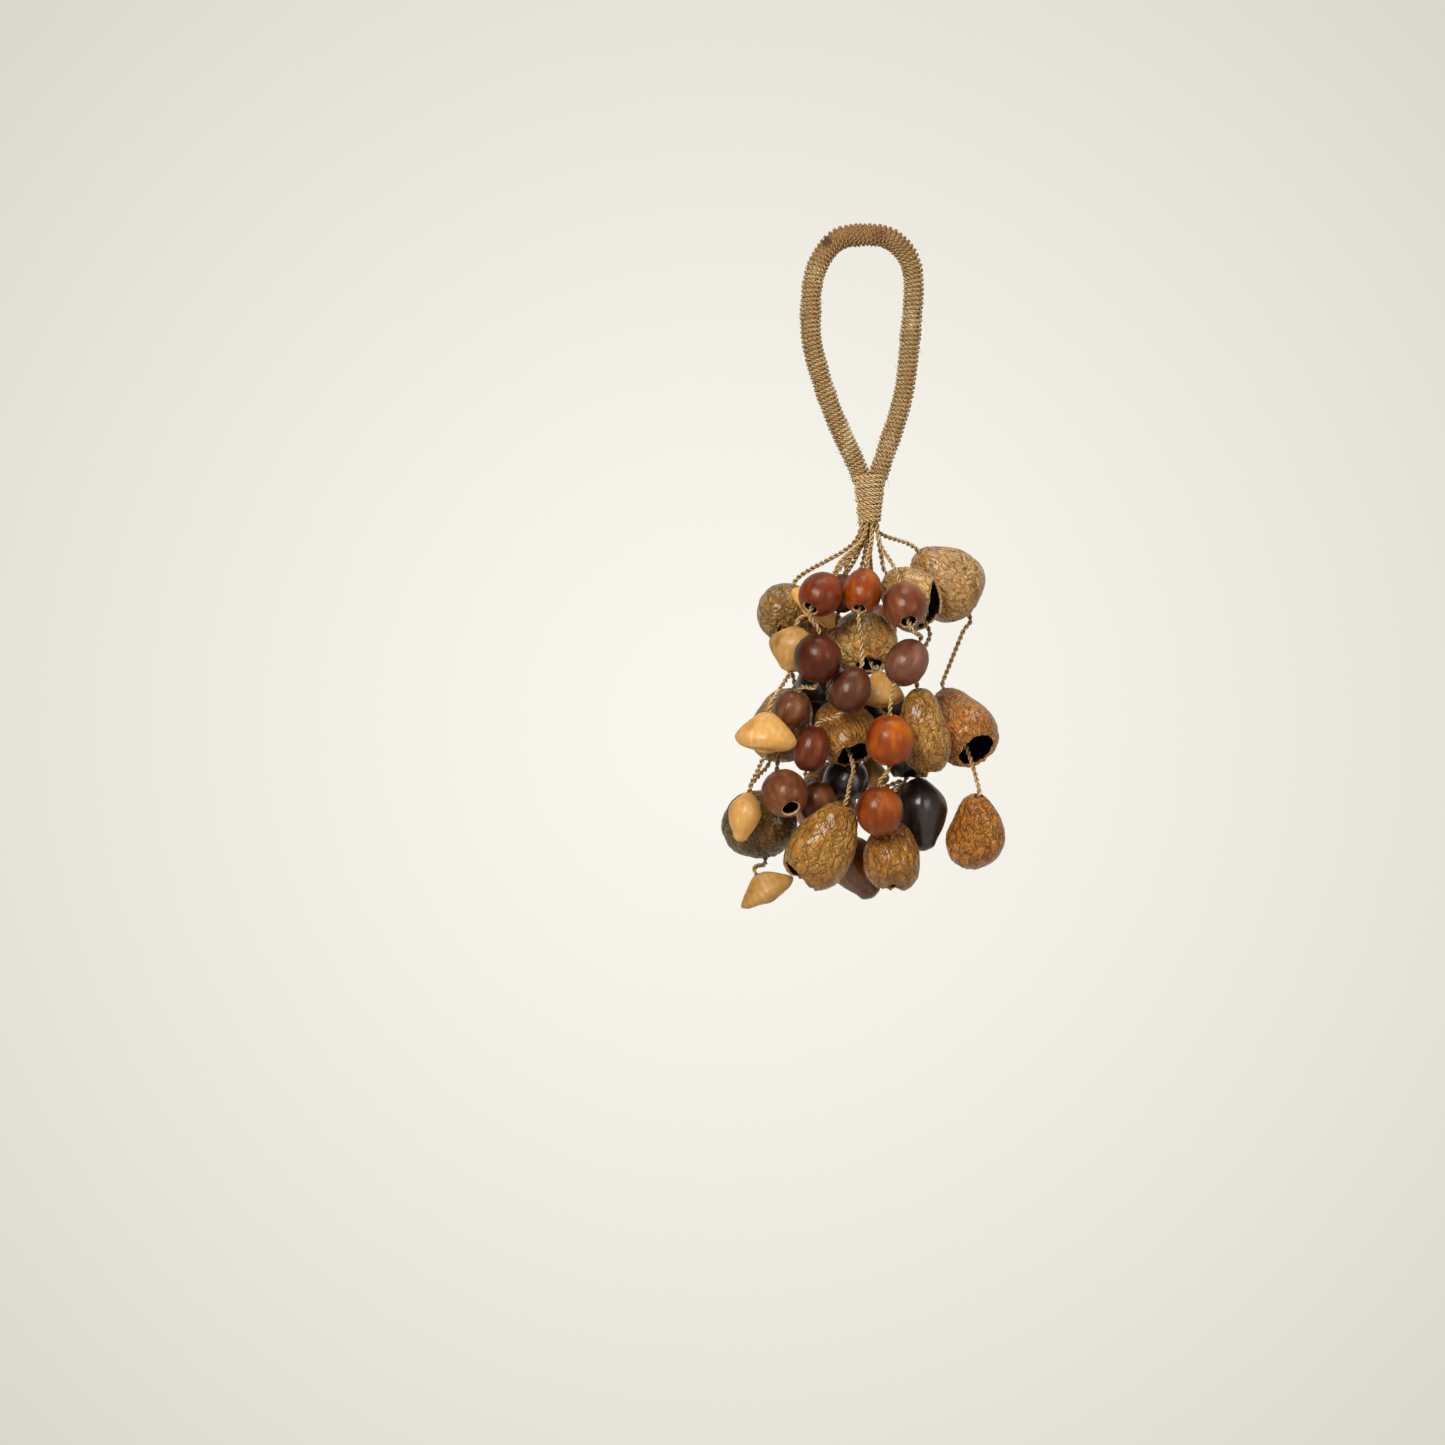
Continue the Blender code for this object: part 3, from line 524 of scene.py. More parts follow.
# Where the wrapping was begun or patched it is a little thicker
for x, z, thicker in ((14.0, -78.0, 0.9), (26.0, -46.0, 0.7), (-24.0, -33.0, 0.5)):
    away = np.hypot(above[:, 0] - x * MM, above[:, 2] - z * MM)
    loop_reach = loop_reach + thicker * MM * np.exp(-((away / (3.0 * MM)) ** 2))


def sleeve(name, line, radius, sides):
    """A plain tube round a line, with one radius for each of its points."""
    way = np.gradient(line, axis=0)
    way /= np.linalg.norm(way, axis=1)[:, None]
    first = np.cross(way, (0.0, 1.0, 0.0))
    bare = np.linalg.norm(first, axis=1) < 1e-6
    first[bare] = (1.0, 0.0, 0.0)
    first /= np.linalg.norm(first, axis=1)[:, None]
    second = np.cross(way, first)
    turn = np.arange(sides) * 2 * math.pi / sides
    cosine, sine = np.cos(turn)[None, :, None], np.sin(turn)[None, :, None]
    ring = cosine * first[:, None] + sine * second[:, None]
    points = (line[:, None] + ring * radius[:, None, None]).reshape(-1, 3)
    faces = []
    for i in range(len(line) - 1):
        for j in range(sides):
            a, b = i * sides + j, i * sides + (j + 1) % sides
            faces.append((a, b, b + sides, a + sides))
    faces.append(tuple(range(sides))[::-1])
    faces.append(tuple((len(line) - 1) * sides + j for j in range(sides)))
    mesh = bpy.data.meshes.new(name)
    mesh.from_pydata([tuple(p) for p in points], [], faces)
    return mesh


def joined_mesh(name, meshes, finish):
    """Meshes as one with one finish, their faces pointing outwards."""
    both = bmesh.new()
    for mesh in meshes:
        both.from_mesh(mesh)
    bmesh.ops.recalc_face_normals(both, faces=both.faces)
    made = bpy.data.meshes.new(name)
    both.to_mesh(made)
    both.free()
    for mesh in meshes:
        bpy.data.meshes.remove(mesh)
    made.materials.append(finish)
    made.shade_smooth()
    return made


HAIR_RADII = np.linspace(0.11, 0.05, 4) * MM
HAIR_SIDES = 3


def hairs(name, line, reach, count):
    """Stray fibres that stand off a wound cord, spread by sines so that each run has the same."""
    made = []
    for i in range(count):
        spot = (i + 0.5 + 0.4 * math.sin(i * 7.3)) / count * (len(line) - 2)
        at = int(spot)
        along = Vector(line[at + 1] - line[at]).normalized()
        heading = Vector((math.sin(i * 2.4), math.cos(i * 2.4), math.sin(i * 1.7)))
        side = along.cross(heading).normalized()
        lean = along * math.sin(i * 3.9)
        size = (2.2 + 1.6 * math.sin(i * 5.1)) * MM
        start = Vector(line[at]) + side * (reach[at] + 0.2 * MM)
        bend = side.cross(along) * math.sin(i * 1.3)
        points = []
        for t in (0.0, 0.35, 0.7, 1.0):
            out = side * 0.6 * t + lean * t + bend * 0.6 * t * t
            points.append(start + out * size)
        made.append(sleeve(f"{name}_{i}", np.array(points), HAIR_RADII, HAIR_SIDES))
    return made


def wound(name, node, line, reach, inner, hair_count, finish, **tree):
    """Cord wound round a line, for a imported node, over a plain sleeve and with stray fibres."""
    numbers = {"reach": reach, "swell": np.ones(len(line))}
    turns = grown(name + "_turns", line, numbers, wind, finish=finish, **tree)
    stray = hairs(name + "_hair", line, reach + tree["ply_radius"], hair_count)
    mesh = joined_mesh(name, [turns, inner, *stray], finish)
    shown(name, mesh, "wrap_khaki", node)
    print(name, triangles(mesh), "triangles")


inner = sleeve("loop_sleeve", above[::4], loop_reach[::4] - 0.35 * MM, 16)
tree = dict(pitch=WRAP_PITCH, step=WRAP_PITCH / 22, ply_radius=WRAP_PLY, sides=6, lay=4.45 * MM)
wound("wound_loop", "loop_wrap", above, loop_reach, inner, 90, khaki, **tree)
frame["nodes"]["loop_core"].data.materials.clear()
frame["nodes"]["loop_core"].data.materials.append(straw)

# %% [markdown]
# Below the loop a thicker cord binds its two arms and the tops of the hanging cords together. Its
# turns narrow downwards like a cone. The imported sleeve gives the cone's radii.

# %% The bound neck
NECK_PLY = 0.60 * MM
NECK_PITCH = 2.15 * MM
neck_points, _ = merged_corners("neck_binding")
heights = sorted({round(float(z), 5) for z in neck_points[:, 2]})
outer = []
for z in heights:
    row = neck_points[np.abs(neck_points[:, 2] - z) < 2e-5]
    outer.append(float(np.hypot(row[:, 0] - NECK_X, row[:, 1]).max()))
count = 60
levels = np.linspace(NECK_TOP - 0.2 * MM, NECK_TOP - NECK_LENGTH + 0.8 * MM, count)
neck_line = np.stack((np.full(count, NECK_X), np.zeros(count), levels), axis=1)
narrower = np.linspace(0.0, 0.9 * MM, count)
neck_reach = np.interp(levels, heights, outer) - NECK_PLY * 1.3 - narrower
cone = sleeve("neck_cone", neck_line, neck_reach - 0.3 * MM, 24)
tree = dict(pitch=NECK_PITCH, step=NECK_PITCH / 40, ply_radius=NECK_PLY, sides=7, lay=5.2 * MM)
# The neck's cord takes the lighter binding colours, as painted light
wound("bound_neck", "neck_binding", neck_line, neck_reach, cone, 16, bright, **tree)

# %% [markdown]
# The wall is painted lighter in the middle of the picture than at its corners, like a pool of
# light. Its colour is shown to the camera as it is, whatever light falls on it, by the Light Path
# node: rays from the camera and mirror-like ones see a painted glow of that colour, and all others
# see plain cream that light falls on.

# %% Wall and floor
WALL_MIDDLE = (0.956, 0.930, 0.863)
WALL_CORNER = (0.701, 0.685, 0.603)
WALL_BEHIND = 2.4
WALL_REACH = 14.0
FLOOR_DOWN = -1.3
# How far the picture's corner is from its middle, on the wall
corner_away = picture_side / math.sqrt(2) * (CAMERA_AWAY + WALL_BEHIND) / CAMERA_AWAY


def wall_finish():
    """Painted light: a cream glow, darker towards the picture's corners; light falls on a plain
    cream.
    """
    finish = Finish("cream_wall")
    place = finish.place()
    split = finish.node("ShaderNodeSeparateXYZ", {}, {0: place})
    across, up = split[0], split[2]
    far = ((across - middle_x) ** 2 + (up - middle_z) ** 2) ** 0.5
    colour = finish.mixed((far / corner_away) ** 1.25, WALL_MIDDLE, WALL_CORNER)
    light_path = finish.node("ShaderNodeLightPath")
    seen = {value.socket.name: value for value in light_path}
    shown = seen["Is Camera Ray"].most(seen["Is Glossy Ray"]).most(seen["Is Transmission Ray"])
    glow = finish.node("ShaderNodeEmission", {}, {"Color": colour, "Strength": 1.0})[0]
    plain = finish.node("ShaderNodeBsdfDiffuse", {}, {"Color": WALL_MIDDLE})[0]
    mix = finish.node("ShaderNodeMixShader", {}, {0: shown, 1: plain, 2: glow})[0]
    output = finish.tree.nodes["Material Output"]
    finish.plug(output.inputs["Surface"], mix)
    finish.tree.nodes.remove(finish.shader)
    return finish.material


cream = wall_finish()
top = (WALL_BEHIND, WALL_REACH)
join = (WALL_BEHIND, FLOOR_DOWN)
front = (-WALL_REACH, FLOOR_DOWN)
for name, first, second in (("back_wall", join, top), ("floor", front, join)):
    corners = [(-WALL_REACH, *first), (WALL_REACH, *first), (WALL_REACH, *second)]
    mesh = bpy.data.meshes.new(name)
    mesh.from_pydata([*corners, (-WALL_REACH, *second)], [], [(0, 1, 2, 3)])
    mesh.materials.append(cream)
    wall = bpy.data.objects.new(name, mesh)
    bpy.context.scene.collection.objects.link(wall)
print("wall", WALL_BEHIND, "m behind the rattle, floor", -FLOOR_DOWN, "m below the loop")

# %% [markdown]
# Big soft lamps stand in for a photographer's light boxes: the main one above and to the left in
# front, a weaker one to the right, and one overhead. Their wide faces give the glossy shells and
# seeds their soft bright patches. The world adds the light that a pale room throws back.


# %% Lamps
def lamp(name, place, target, size, power):
    data = bpy.data.lights.new(name, "AREA")
    data.shape = "RECTANGLE"
    data.size, data.size_y = size
    data.energy = power
    obj = bpy.data.objects.new(name, data)
    obj.location = place
    way = Vector(target) - Vector(place)
    obj.rotation_euler = way.to_track_quat("-Z", "Y").to_euler()
    bpy.context.scene.collection.objects.link(obj)


MIDDLE = (0.0, 0.0, -0.18)
lamp("main_lamp", (-0.6, -1.7, 0.6), MIDDLE, (0.8, 0.8), 35.0)
lamp("right_lamp", (1.3, -1.2, 0.1), MIDDLE, (0.5, 0.9), 6.5)
lamp("top_lamp", (0.1, -0.2, 1.3), MIDDLE, (0.9, 0.6), 8.0)

world = bpy.data.worlds.new("room")
bpy.context.scene.world = world
world.use_nodes = True
room_light = world.node_tree.nodes["Background"]
room_light.inputs["Color"].default_value = (1.0, 0.985, 0.96, 1.0)
room_light.inputs["Strength"].default_value = 0.18
bpy.context.scene.view_settings.view_transform = "Standard"

# %% [markdown]
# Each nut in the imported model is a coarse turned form. Its size and its turn are repeated here, as
# the maker of the frame chose them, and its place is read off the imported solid: turned upright, the
# ring of corners round its top hole lies round the nut's own axis. So a nut that moves in the frame
# takes its dressed form with it.
#
# Each line gives the kind, the width, depth and height in mm, the lean to the right and the nod of
# the mouth towards the viewer in degrees, the mouth's radius in mm, how much wider the nut is below
# its middle, and its look's name. Some nuts then have their own share of red, green and blue.

# %% The nuts' sizes
NUTS = {
    "shell_01": ("shell", (37, 35, 42), (-40, -22), 6, 0.1, "tan_shell", (1, 1.03, 1.15)),
    "shell_02": ("shell", (33, 31, 38), (-44, 14), 10, 0.04, "tan_shell", (1.06, 1.08, 1.12)),
    "shell_03": ("shell", (31, 31, 32), (8, 48), 3.4, 0.05, "olive_shell", (0.8, 0.82, 0.82)),
    # shell_04's pale tan look and raised tone are painted light, making up for the shade the seeds in
    # front cast on it
    "shell_04": ("shell", (35, 33, 35), (-12, 32), 6.2, 0.05, "tan_shell", (1.4, 1.28, 1.05)),
    "shell_05": ("shell", (33, 31, 39), (16, -16), 6, 0.1, "olive_shell"),
    "shell_06": ("shell", (33, 31, 38), (-26, 20), 10, 0.05, "striped_shell", (1.02, 1, 1)),
    "shell_07": ("shell", (28, 28, 45), (-8, -12), 6, 0.05, "olive_shell", (1.15, 1.08, 1)),
    "shell_08": ("shell", (32, 30, 47), (-22, 30), 8, 0.26, "orange_shell", (1.12, 1.08, 0.82)),
    "shell_09": ("shell", (29, 28, 41), (4, -24), 5, 0.24, "warm_shell", (0.96, 0.8, 0.5)),
    "shell_10": ("shell", (31, 30, 36), (0, 4), 6.8, 0.12, "warm_shell", (0.84, 0.8, 0.6)),
    "shell_11": ("shell", (34, 32, 49), (27, -12), 8, 0.2, "warm_shell", (0.95, 1.06, 0.96)),
    "shell_12": ("shell", (40, 33, 35), (-14, -18), 7, 0.05, "dark_shell", (1.3, 1.1, 0.6)),
    "shell_13": ("drop", (26, 25, 36), (-32, 0), 0, 0, "olive_husk", (1.6, 1.35, 0.9)),
    "shell_14": ("shell", (34, 32, 36), (10, -26), 6.5, 0.08, "warm_shell"),
    "shell_15": ("shell", (33, 31, 40), (12, -18), 8, 0.12, "warm_shell"),
    "shell_16": ("shell", (29, 28, 33), (-8, -20), 7, 0.1, "dark_shell"),
    "seed_01": ("seed", (21.5, 21, 24), (31, 24), 3.4, 0.04, "mahogany", (1.18, 1.02, 0.69)),
    "seed_02": ("seed", (20, 20, 25), (10, 22), 3.1, 0.04, "rust", (0.92, 0.88, 0.52)),
    "seed_03": ("seed", (18, 18, 20), (10, 0), 3, 0, "plum"),
    "seed_04": ("seed", (22, 22, 25), (-10, 34), 4.2, 0.04, "plum", (1.24, 1.13, 1.02)),
    "seed_05": ("seed", (24, 23, 25), (2, -8), 3.3, 0.03, "deep_mahogany", (1.03, 0.84, 0.69)),
    "seed_06": ("seed", (20, 20, 24.6), (24, 6), 3, 0.08, "plum", (0.62, 0.6, 0.61)),
    "seed_07": ("seed", (21.5, 21, 25), (30, 10), 3.4, 0.03, "grey_plum"),
    "seed_08": ("seed", (18, 18, 20), (24, 0), 2.9, 0, "plum", (1.05, 1.22, 1.13)),
    "seed_09": ("seed", (18, 18, 24), (14, 0), 2.9, 0.06, "mahogany", (0.8, 0.85, 0.82)),
    "seed_10": ("seed", (23.6, 23, 25), (-15, 42), 4.8, 0.04, "plum", (1.2, 1.32, 1.04)),
    "seed_11": ("seed", (25, 25, 26), (0, -8), 3.3, 0, "rust", (1.19, 1.26, 0.64)),
    "seed_12": ("seed", (24, 23, 25.5), (0, -8), 3.3, 0, "rust", (0.85, 0.86, 0.53)),
    "seed_13": ("seed", (19, 19, 22), (0, 0), 3, 0, "plum"),
    "seed_14": ("seed", (22, 21, 24), (4, -10), 3.2, 0.04, "mahogany"),
    "seed_15": ("seed", (21, 21, 24), (-8, -14), 3.2, 0.04, "rust"),
    "nut_01": ("wedge", (28, 14, 15), (42, 0), 0, 0, "peach_nut", (1.25, 1.2, 1.05)),
    "nut_02": ("drop", (25, 16, 22), (8, 0), 0, 0, "tan_nut"),
    "nut_03": ("wedge", (24, 15, 18), (0, 0), 0, 0, "peach_nut"),
    "nut_04": ("wedge", (31, 18, 20), (6, 0), 0, 0, "peach_nut"),
    "nut_05": ("drop", (17, 15, 24), (11, 0), 0, 0, "peach_nut"),
    "nut_06": ("wedge", (30, 14, 15), (-30, 0), 0, 0, "tan_nut"),
    "nut_07": ("wedge", (18, 13, 15), (0, 0), 0, 0, "tan_nut"),
    "husk_01": ("husk", (27, 25, 27), (6, 0), 10.5, 0, "black_husk"),
    "husk_02": ("husk", (28, 26, 28), (-6, 0), 10.5, 0, "black_husk"),
    "husk_03": ("drop", (27, 24, 36), (-4, 0), 0, 0, "black_husk"),
    "husk_04": ("husk", (25, 23, 25), (4, 0), 9, 0, "black_husk"),
    "husk_05": ("husk", (22, 20, 23), (0, 0), 8, 0, "black_husk"),
}
WALLS = {"shell": 1.9 * MM, "seed": 1.6 * MM, "husk": 1.2 * MM}
STEPS = {"shell": 9, "seed": 8, "husk": 9, "wedge": 8, "drop": 8}
ROWS = {"shell": 5, "seed": 4, "husk": 5}
SHELL_LOBES = 0.035
SEED_LOBES = 0.012
BORE_RADIUS = 1.5 * MM
KNOT_POCKET = 6.0 * MM
POCKET_RADIUS = 2.6 * MM
OUTLINES = {
    "wedge": ((0.3, 0.86), (0.62, 0.42), (0.93, -0.12), (1, -0.42), (0.8, -0.76), (0.4, -0.94)),
    "drop": ((0.4, 0.9), (0.86, 0.52), (1, 0.12), (0.82, -0.34), (0.52, -0.74), (0.38, -0.94)),
}


def bore_corner(kind):
    return BORE_RADIUS / math.cos(math.pi / STEPS[kind])


def hollow_ends(nut):
    """The angles at the hole and at the mouth of a hollow nut's outline, and the hole's height."""
    half, tall = nut.size[0] / 2, nut.size[2] / 2
    last = math.pi - math.asin(min(0.95, nut.mouth / half))
    hole = bore_corner(nut.kind)
    for _ in range(3):
        first = math.asin(hole / half)
        ring = []
        for angle in (first, first + (last - first) / ROWS[nut.kind]):
            share = 1 - nut.fuller * math.cos(angle) * math.sin(angle)
            ring.append((half * math.sin(angle) * share, tall * math.cos(angle)))
        down, across = ring[0][1] - ring[1][1], ring[1][0] - ring[0][0]
        hole = bore_corner(nut.kind) + WALLS[nut.kind] * down / math.hypot(across, down)
    return first, last, ring[0][1]


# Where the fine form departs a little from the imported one: degrees more nod of the mouth, mm more
# of its radius, how much wider below the middle, and for a slanted mouth how many degrees further
# up the wall it is cut, and on which side
OWN_FORM = {
    "seed_01": (16, 0.8, 0.04),
    "seed_02": (14, 0.7, 0.04),
    "seed_04": (6, 0.3, 0.04),
    "seed_10": (4, 0.2, 0.04),
    "shell_01": (0, 0.0, 0.20),
    "shell_02": (2, 1.5, 0.04, 44, -32),
    "shell_04": (6, 1.2, 0.05),
    "shell_06": (6, 2.0, 0.05, 8, -120),
    "shell_08": (8, 1.5, 0.40, 8, -70),
    "shell_11": (0, 0.0, 0.30, 28, -146),
}


def turned(lean, nod):
    """The turn of a nut that leans to the right and nods to the viewer by so many degrees."""
    nodded = Euler((-math.radians(nod), 0.0, 0.0)).to_matrix()
    return np.array(nodded @ Euler((0.0, math.radians(lean), 0.0)).to_matrix())


class Nut:
    """A nut's size, turn and place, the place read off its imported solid."""

    def __init__(self, name, order):
        self.name = name
        self.order = order
        self.kind, size, (lean, nod), mouth, self.fuller, self.look, *self.tone = NUTS[name]
        self.size = tuple(s * MM for s in size)
        self.mouth = mouth * MM
        self.turn = turned(lean, nod)
        self.slant, self.side = 0.0, 0.0
        top = self.size[2] / 2
        if self.kind in WALLS:
            self.first, self.last, top = hollow_ends(self)
        upright = merged_corners(name)[0] @ self.turn
        highest = upright[:, 2].max()
        middle = upright[upright[:, 2] > highest - 2e-5].mean(axis=0)
        self.place = self.turn @ np.array((middle[0], middle[1], highest - top))
        if name in OWN_FORM:
            more, wider, self.fuller, slant, side = (*OWN_FORM[name], 0, 0)[:5]
            self.slant, self.side = math.radians(slant), math.radians(side)
            self.turn = turned(lean, nod + more)
            self.mouth += wider * MM
            self.first, self.last, _ = hollow_ends(self)

    def world(self, points):
        return points @ self.turn.T + self.place


nuts = {name: Nut(name, order) for order, name in enumerate(NUTS)}
print("nuts:", {kind: sum(nut.kind == kind for nut in nuts.values()) for kind in STEPS})

# %% [markdown]
# A nut's fine form is its outline turned about its axis, pressed to its depth and given the lobes
# of its kind, as in the imported model but with many more rows and steps. A hollow nut's outline runs
# down its outside, round the lip of its mouth and back up its inside, so the wall is real.
#
# The skin is then raised and sunk along its normals. Mathutils' noise is made of hills and valleys,
# and the places where it crosses zero make long wandering lines. Raised there, they become the
# wrinkles of a dried shell. How high a corner lies is kept as a number on the mesh, so that the
# shells' finish paints shade into the low creases and light onto the raised ridges.


# %% The nuts' fine form
def spaced(count):
    return np.arange(count + 1) / count


def hollow_profile(nut, rows, slant=0.0):
    """Radius, height, and how far along outside (0 to 1), lip (1 to 2) and inside (2 to 3)."""
    angle = nut.first + (nut.last - slant - nut.first) * spaced(rows)
    share = 1 - nut.fuller * np.cos(angle) * np.sin(angle)
    half, tall = nut.size[0] / 2, nut.size[2] / 2
    outer = np.stack((half * np.sin(angle) * share, tall * np.cos(angle)), axis=1)
    slope = np.gradient(outer, axis=0)
    slope /= np.linalg.norm(slope, axis=1)[:, None]
    inwards = np.stack((slope[:, 1], -slope[:, 0]), axis=1)
    inner = (outer + inwards * WALLS[nut.kind])[:: -max(1, rows // 18)]
    lip = []
    for t in (0.25, 0.5, 0.75):
        bulge = math.sin(math.pi * t) * 0.28 * WALLS[nut.kind]
        lip.append(outer[-1] + (inner[0] - outer[-1]) * t + slope[-1] * bulge)
    part = np.concatenate((spaced(rows), (1.25, 1.5, 1.75), 2 + spaced(len(inner) - 1)))
    return np.concatenate((outer, lip, inner)), part


def solid_profile(nut, rows):
    """The outside from the bore at the top to the knot's pocket, and the bore's wall back up."""
    half, tall = nut.size[0] / 2, nut.size[2] / 2
    coarse = [(BORE_RADIUS, tall), *((half * r, tall * z) for r, z in OUTLINES[nut.kind])]
    coarse = np.array([*coarse, (POCKET_RADIUS * 0.5, -tall - 0.7 * MM)])
    flat = np.column_stack((coarse[:, 0], np.zeros(len(coarse)), coarse[:, 1]))
    every = line_length(flat) / rows
    line, _ = smoothed(flat, np.zeros(len(flat)), every)
    outer = line[:, (0, 2)]
    shoulder = KNOT_POCKET - tall
    inner = [(POCKET_RADIUS, shoulder), (BORE_RADIUS, shoulder), (BORE_RADIUS, tall * 0.5)]
    part = np.concatenate((spaced(len(outer) - 1), 2 + spaced(2)))
    return np.concatenate((outer, inner)), part


def shaped(nut, profile, higher, steps):
    """The profile turned in steps about Z, in the nut's own frame, with its kind's lobes."""
    width, depth, height = nut.size
    phase = nut.order * 2.4
    keep = bore_corner(nut.kind) + WALLS.get(nut.kind, 0.0) / 2
    turn = np.arange(steps) * 2 * math.pi / steps
    towards = np.clip(np.cos(turn - nut.side), 0.0, 1.0) ** 2
    reach = profile[:, :1] + (higher - profile)[:, :1] * towards
    z = profile[:, 1:] + (higher - profile)[:, 1:] * towards
    share = np.clip((reach - keep) / (width * 0.12), 0.0, 1.0)
    if nut.kind in ("wedge", "drop"):
        sharp = 1.5 if nut.name.startswith("husk") else 1.25
        edge = (np.abs(np.cos(turn)) ** sharp + np.abs(np.sin(turn)) ** sharp) ** (-1 / sharp)
        factor = 0.35 + 0.65 * edge + 0 * z
    elif nut.kind == "seed":
        factor = 1 + SEED_LOBES * (np.cos(3 * turn + phase) - 1) + 0 * z
    else:
        factor = 1 + SHELL_LOBES * (np.cos(2 * turn + phase + 3 * z / height) - 1)
        factor = factor * (1 + SHELL_LOBES * 0.6 * (np.cos(5 * z / height + turn + phase) - 1))
    factor = 1 + (factor - 1) * share
    x = reach * np.cos(turn) * factor
    y = reach * np.sin(turn) * factor * (1 + (depth / width - 1) * share)
    return np.stack((x, y, z), axis=2)


def wrinkles(point, seed, size, stretch):
    """A net of raised lines, from 0 in the hollows to 1 on the lines."""
    spot = Vector((point[0] / size, point[1] / size, point[2] / (size * stretch)))
    spot += Vector((seed * 3.1, seed * 1.7, seed * 2.3))
    bend = noise.noise_vector(spot * 0.6) * 0.7
    wide = 1 - abs(noise.noise(spot + bend)) * 3.2
    fine = 1 - abs(noise.noise((spot + bend) * 2.1)) * 2.8
    return max(0.0, wide) * 0.62 + max(0.0, fine) * 0.38


def dressed(nut, steps, rows, relief, lumps, grain, stretch, ragged=0.0):
    """The nut's mesh: relief and lumps in metres, grain the size of a wrinkle in metres."""
    profile, part = (hollow_profile if nut.kind in WALLS else solid_profile)(nut, rows)
    higher = hollow_profile(nut, rows, nut.slant)[0] if nut.slant else profile
    grid = shaped(nut, profile, higher, steps)
    along = np.gradient(grid, axis=0)
    across = np.roll(grid, -1, axis=1) - np.roll(grid, 1, axis=1)
    normal = np.cross(across, along)
    length = np.linalg.norm(normal, axis=2, keepdims=True)
    normal = -normal / np.maximum(length, 1e-12)
    height = np.zeros(grid.shape[:2])
    seed = nut.order + 1
    bore = bore_corner(nut.kind) + 0.4 * MM
    lowest = grid[:, :, 2].min()
    for i in range(len(profile)):
        outside = part[i] < 1.999
        for j in range(steps):
            spot = grid[i, j]
            swell = noise.noise(Vector(spot) * 62.0 + Vector((seed, 0, 0))) * lumps
            clear = min(1.0, max(0.0, (math.hypot(spot[0], spot[1]) - bore) / (2.5 * MM)))
            raised = 0.0
            if outside:
                raised = wrinkles(spot, seed, grain, stretch)
                height[i, j] = raised
                raised = (raised - 0.5) * relief
            # The inside follows the outside's lumps, and its normals point the other way
            grid[i, j] = spot + normal[i, j] * (swell + raised if outside else -swell) * clear
            if ragged and part[i] > 0.8:
                edge = noise.noise(Vector((spot[0], spot[1], seed * 0.01)) * 210.0)
                near = math.exp(-((spot[2] - lowest) / (3.0 * MM)) ** 2)
                grid[i, j, 2] += abs(edge) * ragged * near
    local = grid.reshape(-1, 3)
    faces = []
    count = len(profile)
    for i in range(count):
        below = (i + 1) % count
        for j in range(steps):
            beside = (j + 1) % steps
            here, under = i * steps, below * steps
            faces.append((here + j, under + j, under + beside, here + beside))
    mesh = bpy.data.meshes.new(nut.name + "_skin")
    mesh.from_pydata([tuple(p) for p in nut.world(local)], [], faces)
    number_corners(mesh, {"height": height, "part": part[:, None] * np.ones(steps)})
    values = np.float32(local).ravel()
    mesh.attributes.new("skin", "FLOAT_VECTOR", "POINT").data.foreach_set("vector", values)
    mesh.shade_smooth()
    return mesh


# %% [markdown]
# A shell's colour goes from a dark crease colour to a pale ridge colour, in broad patches, with
# painted shade in the low creases and painted light on the raised ridges. Its dark crack lines are
# partly its own and partly painted shade. Its inside is painted nearly black, as painted shade. The
# varnish-like gloss is a low roughness on the ridges under a thin coat.

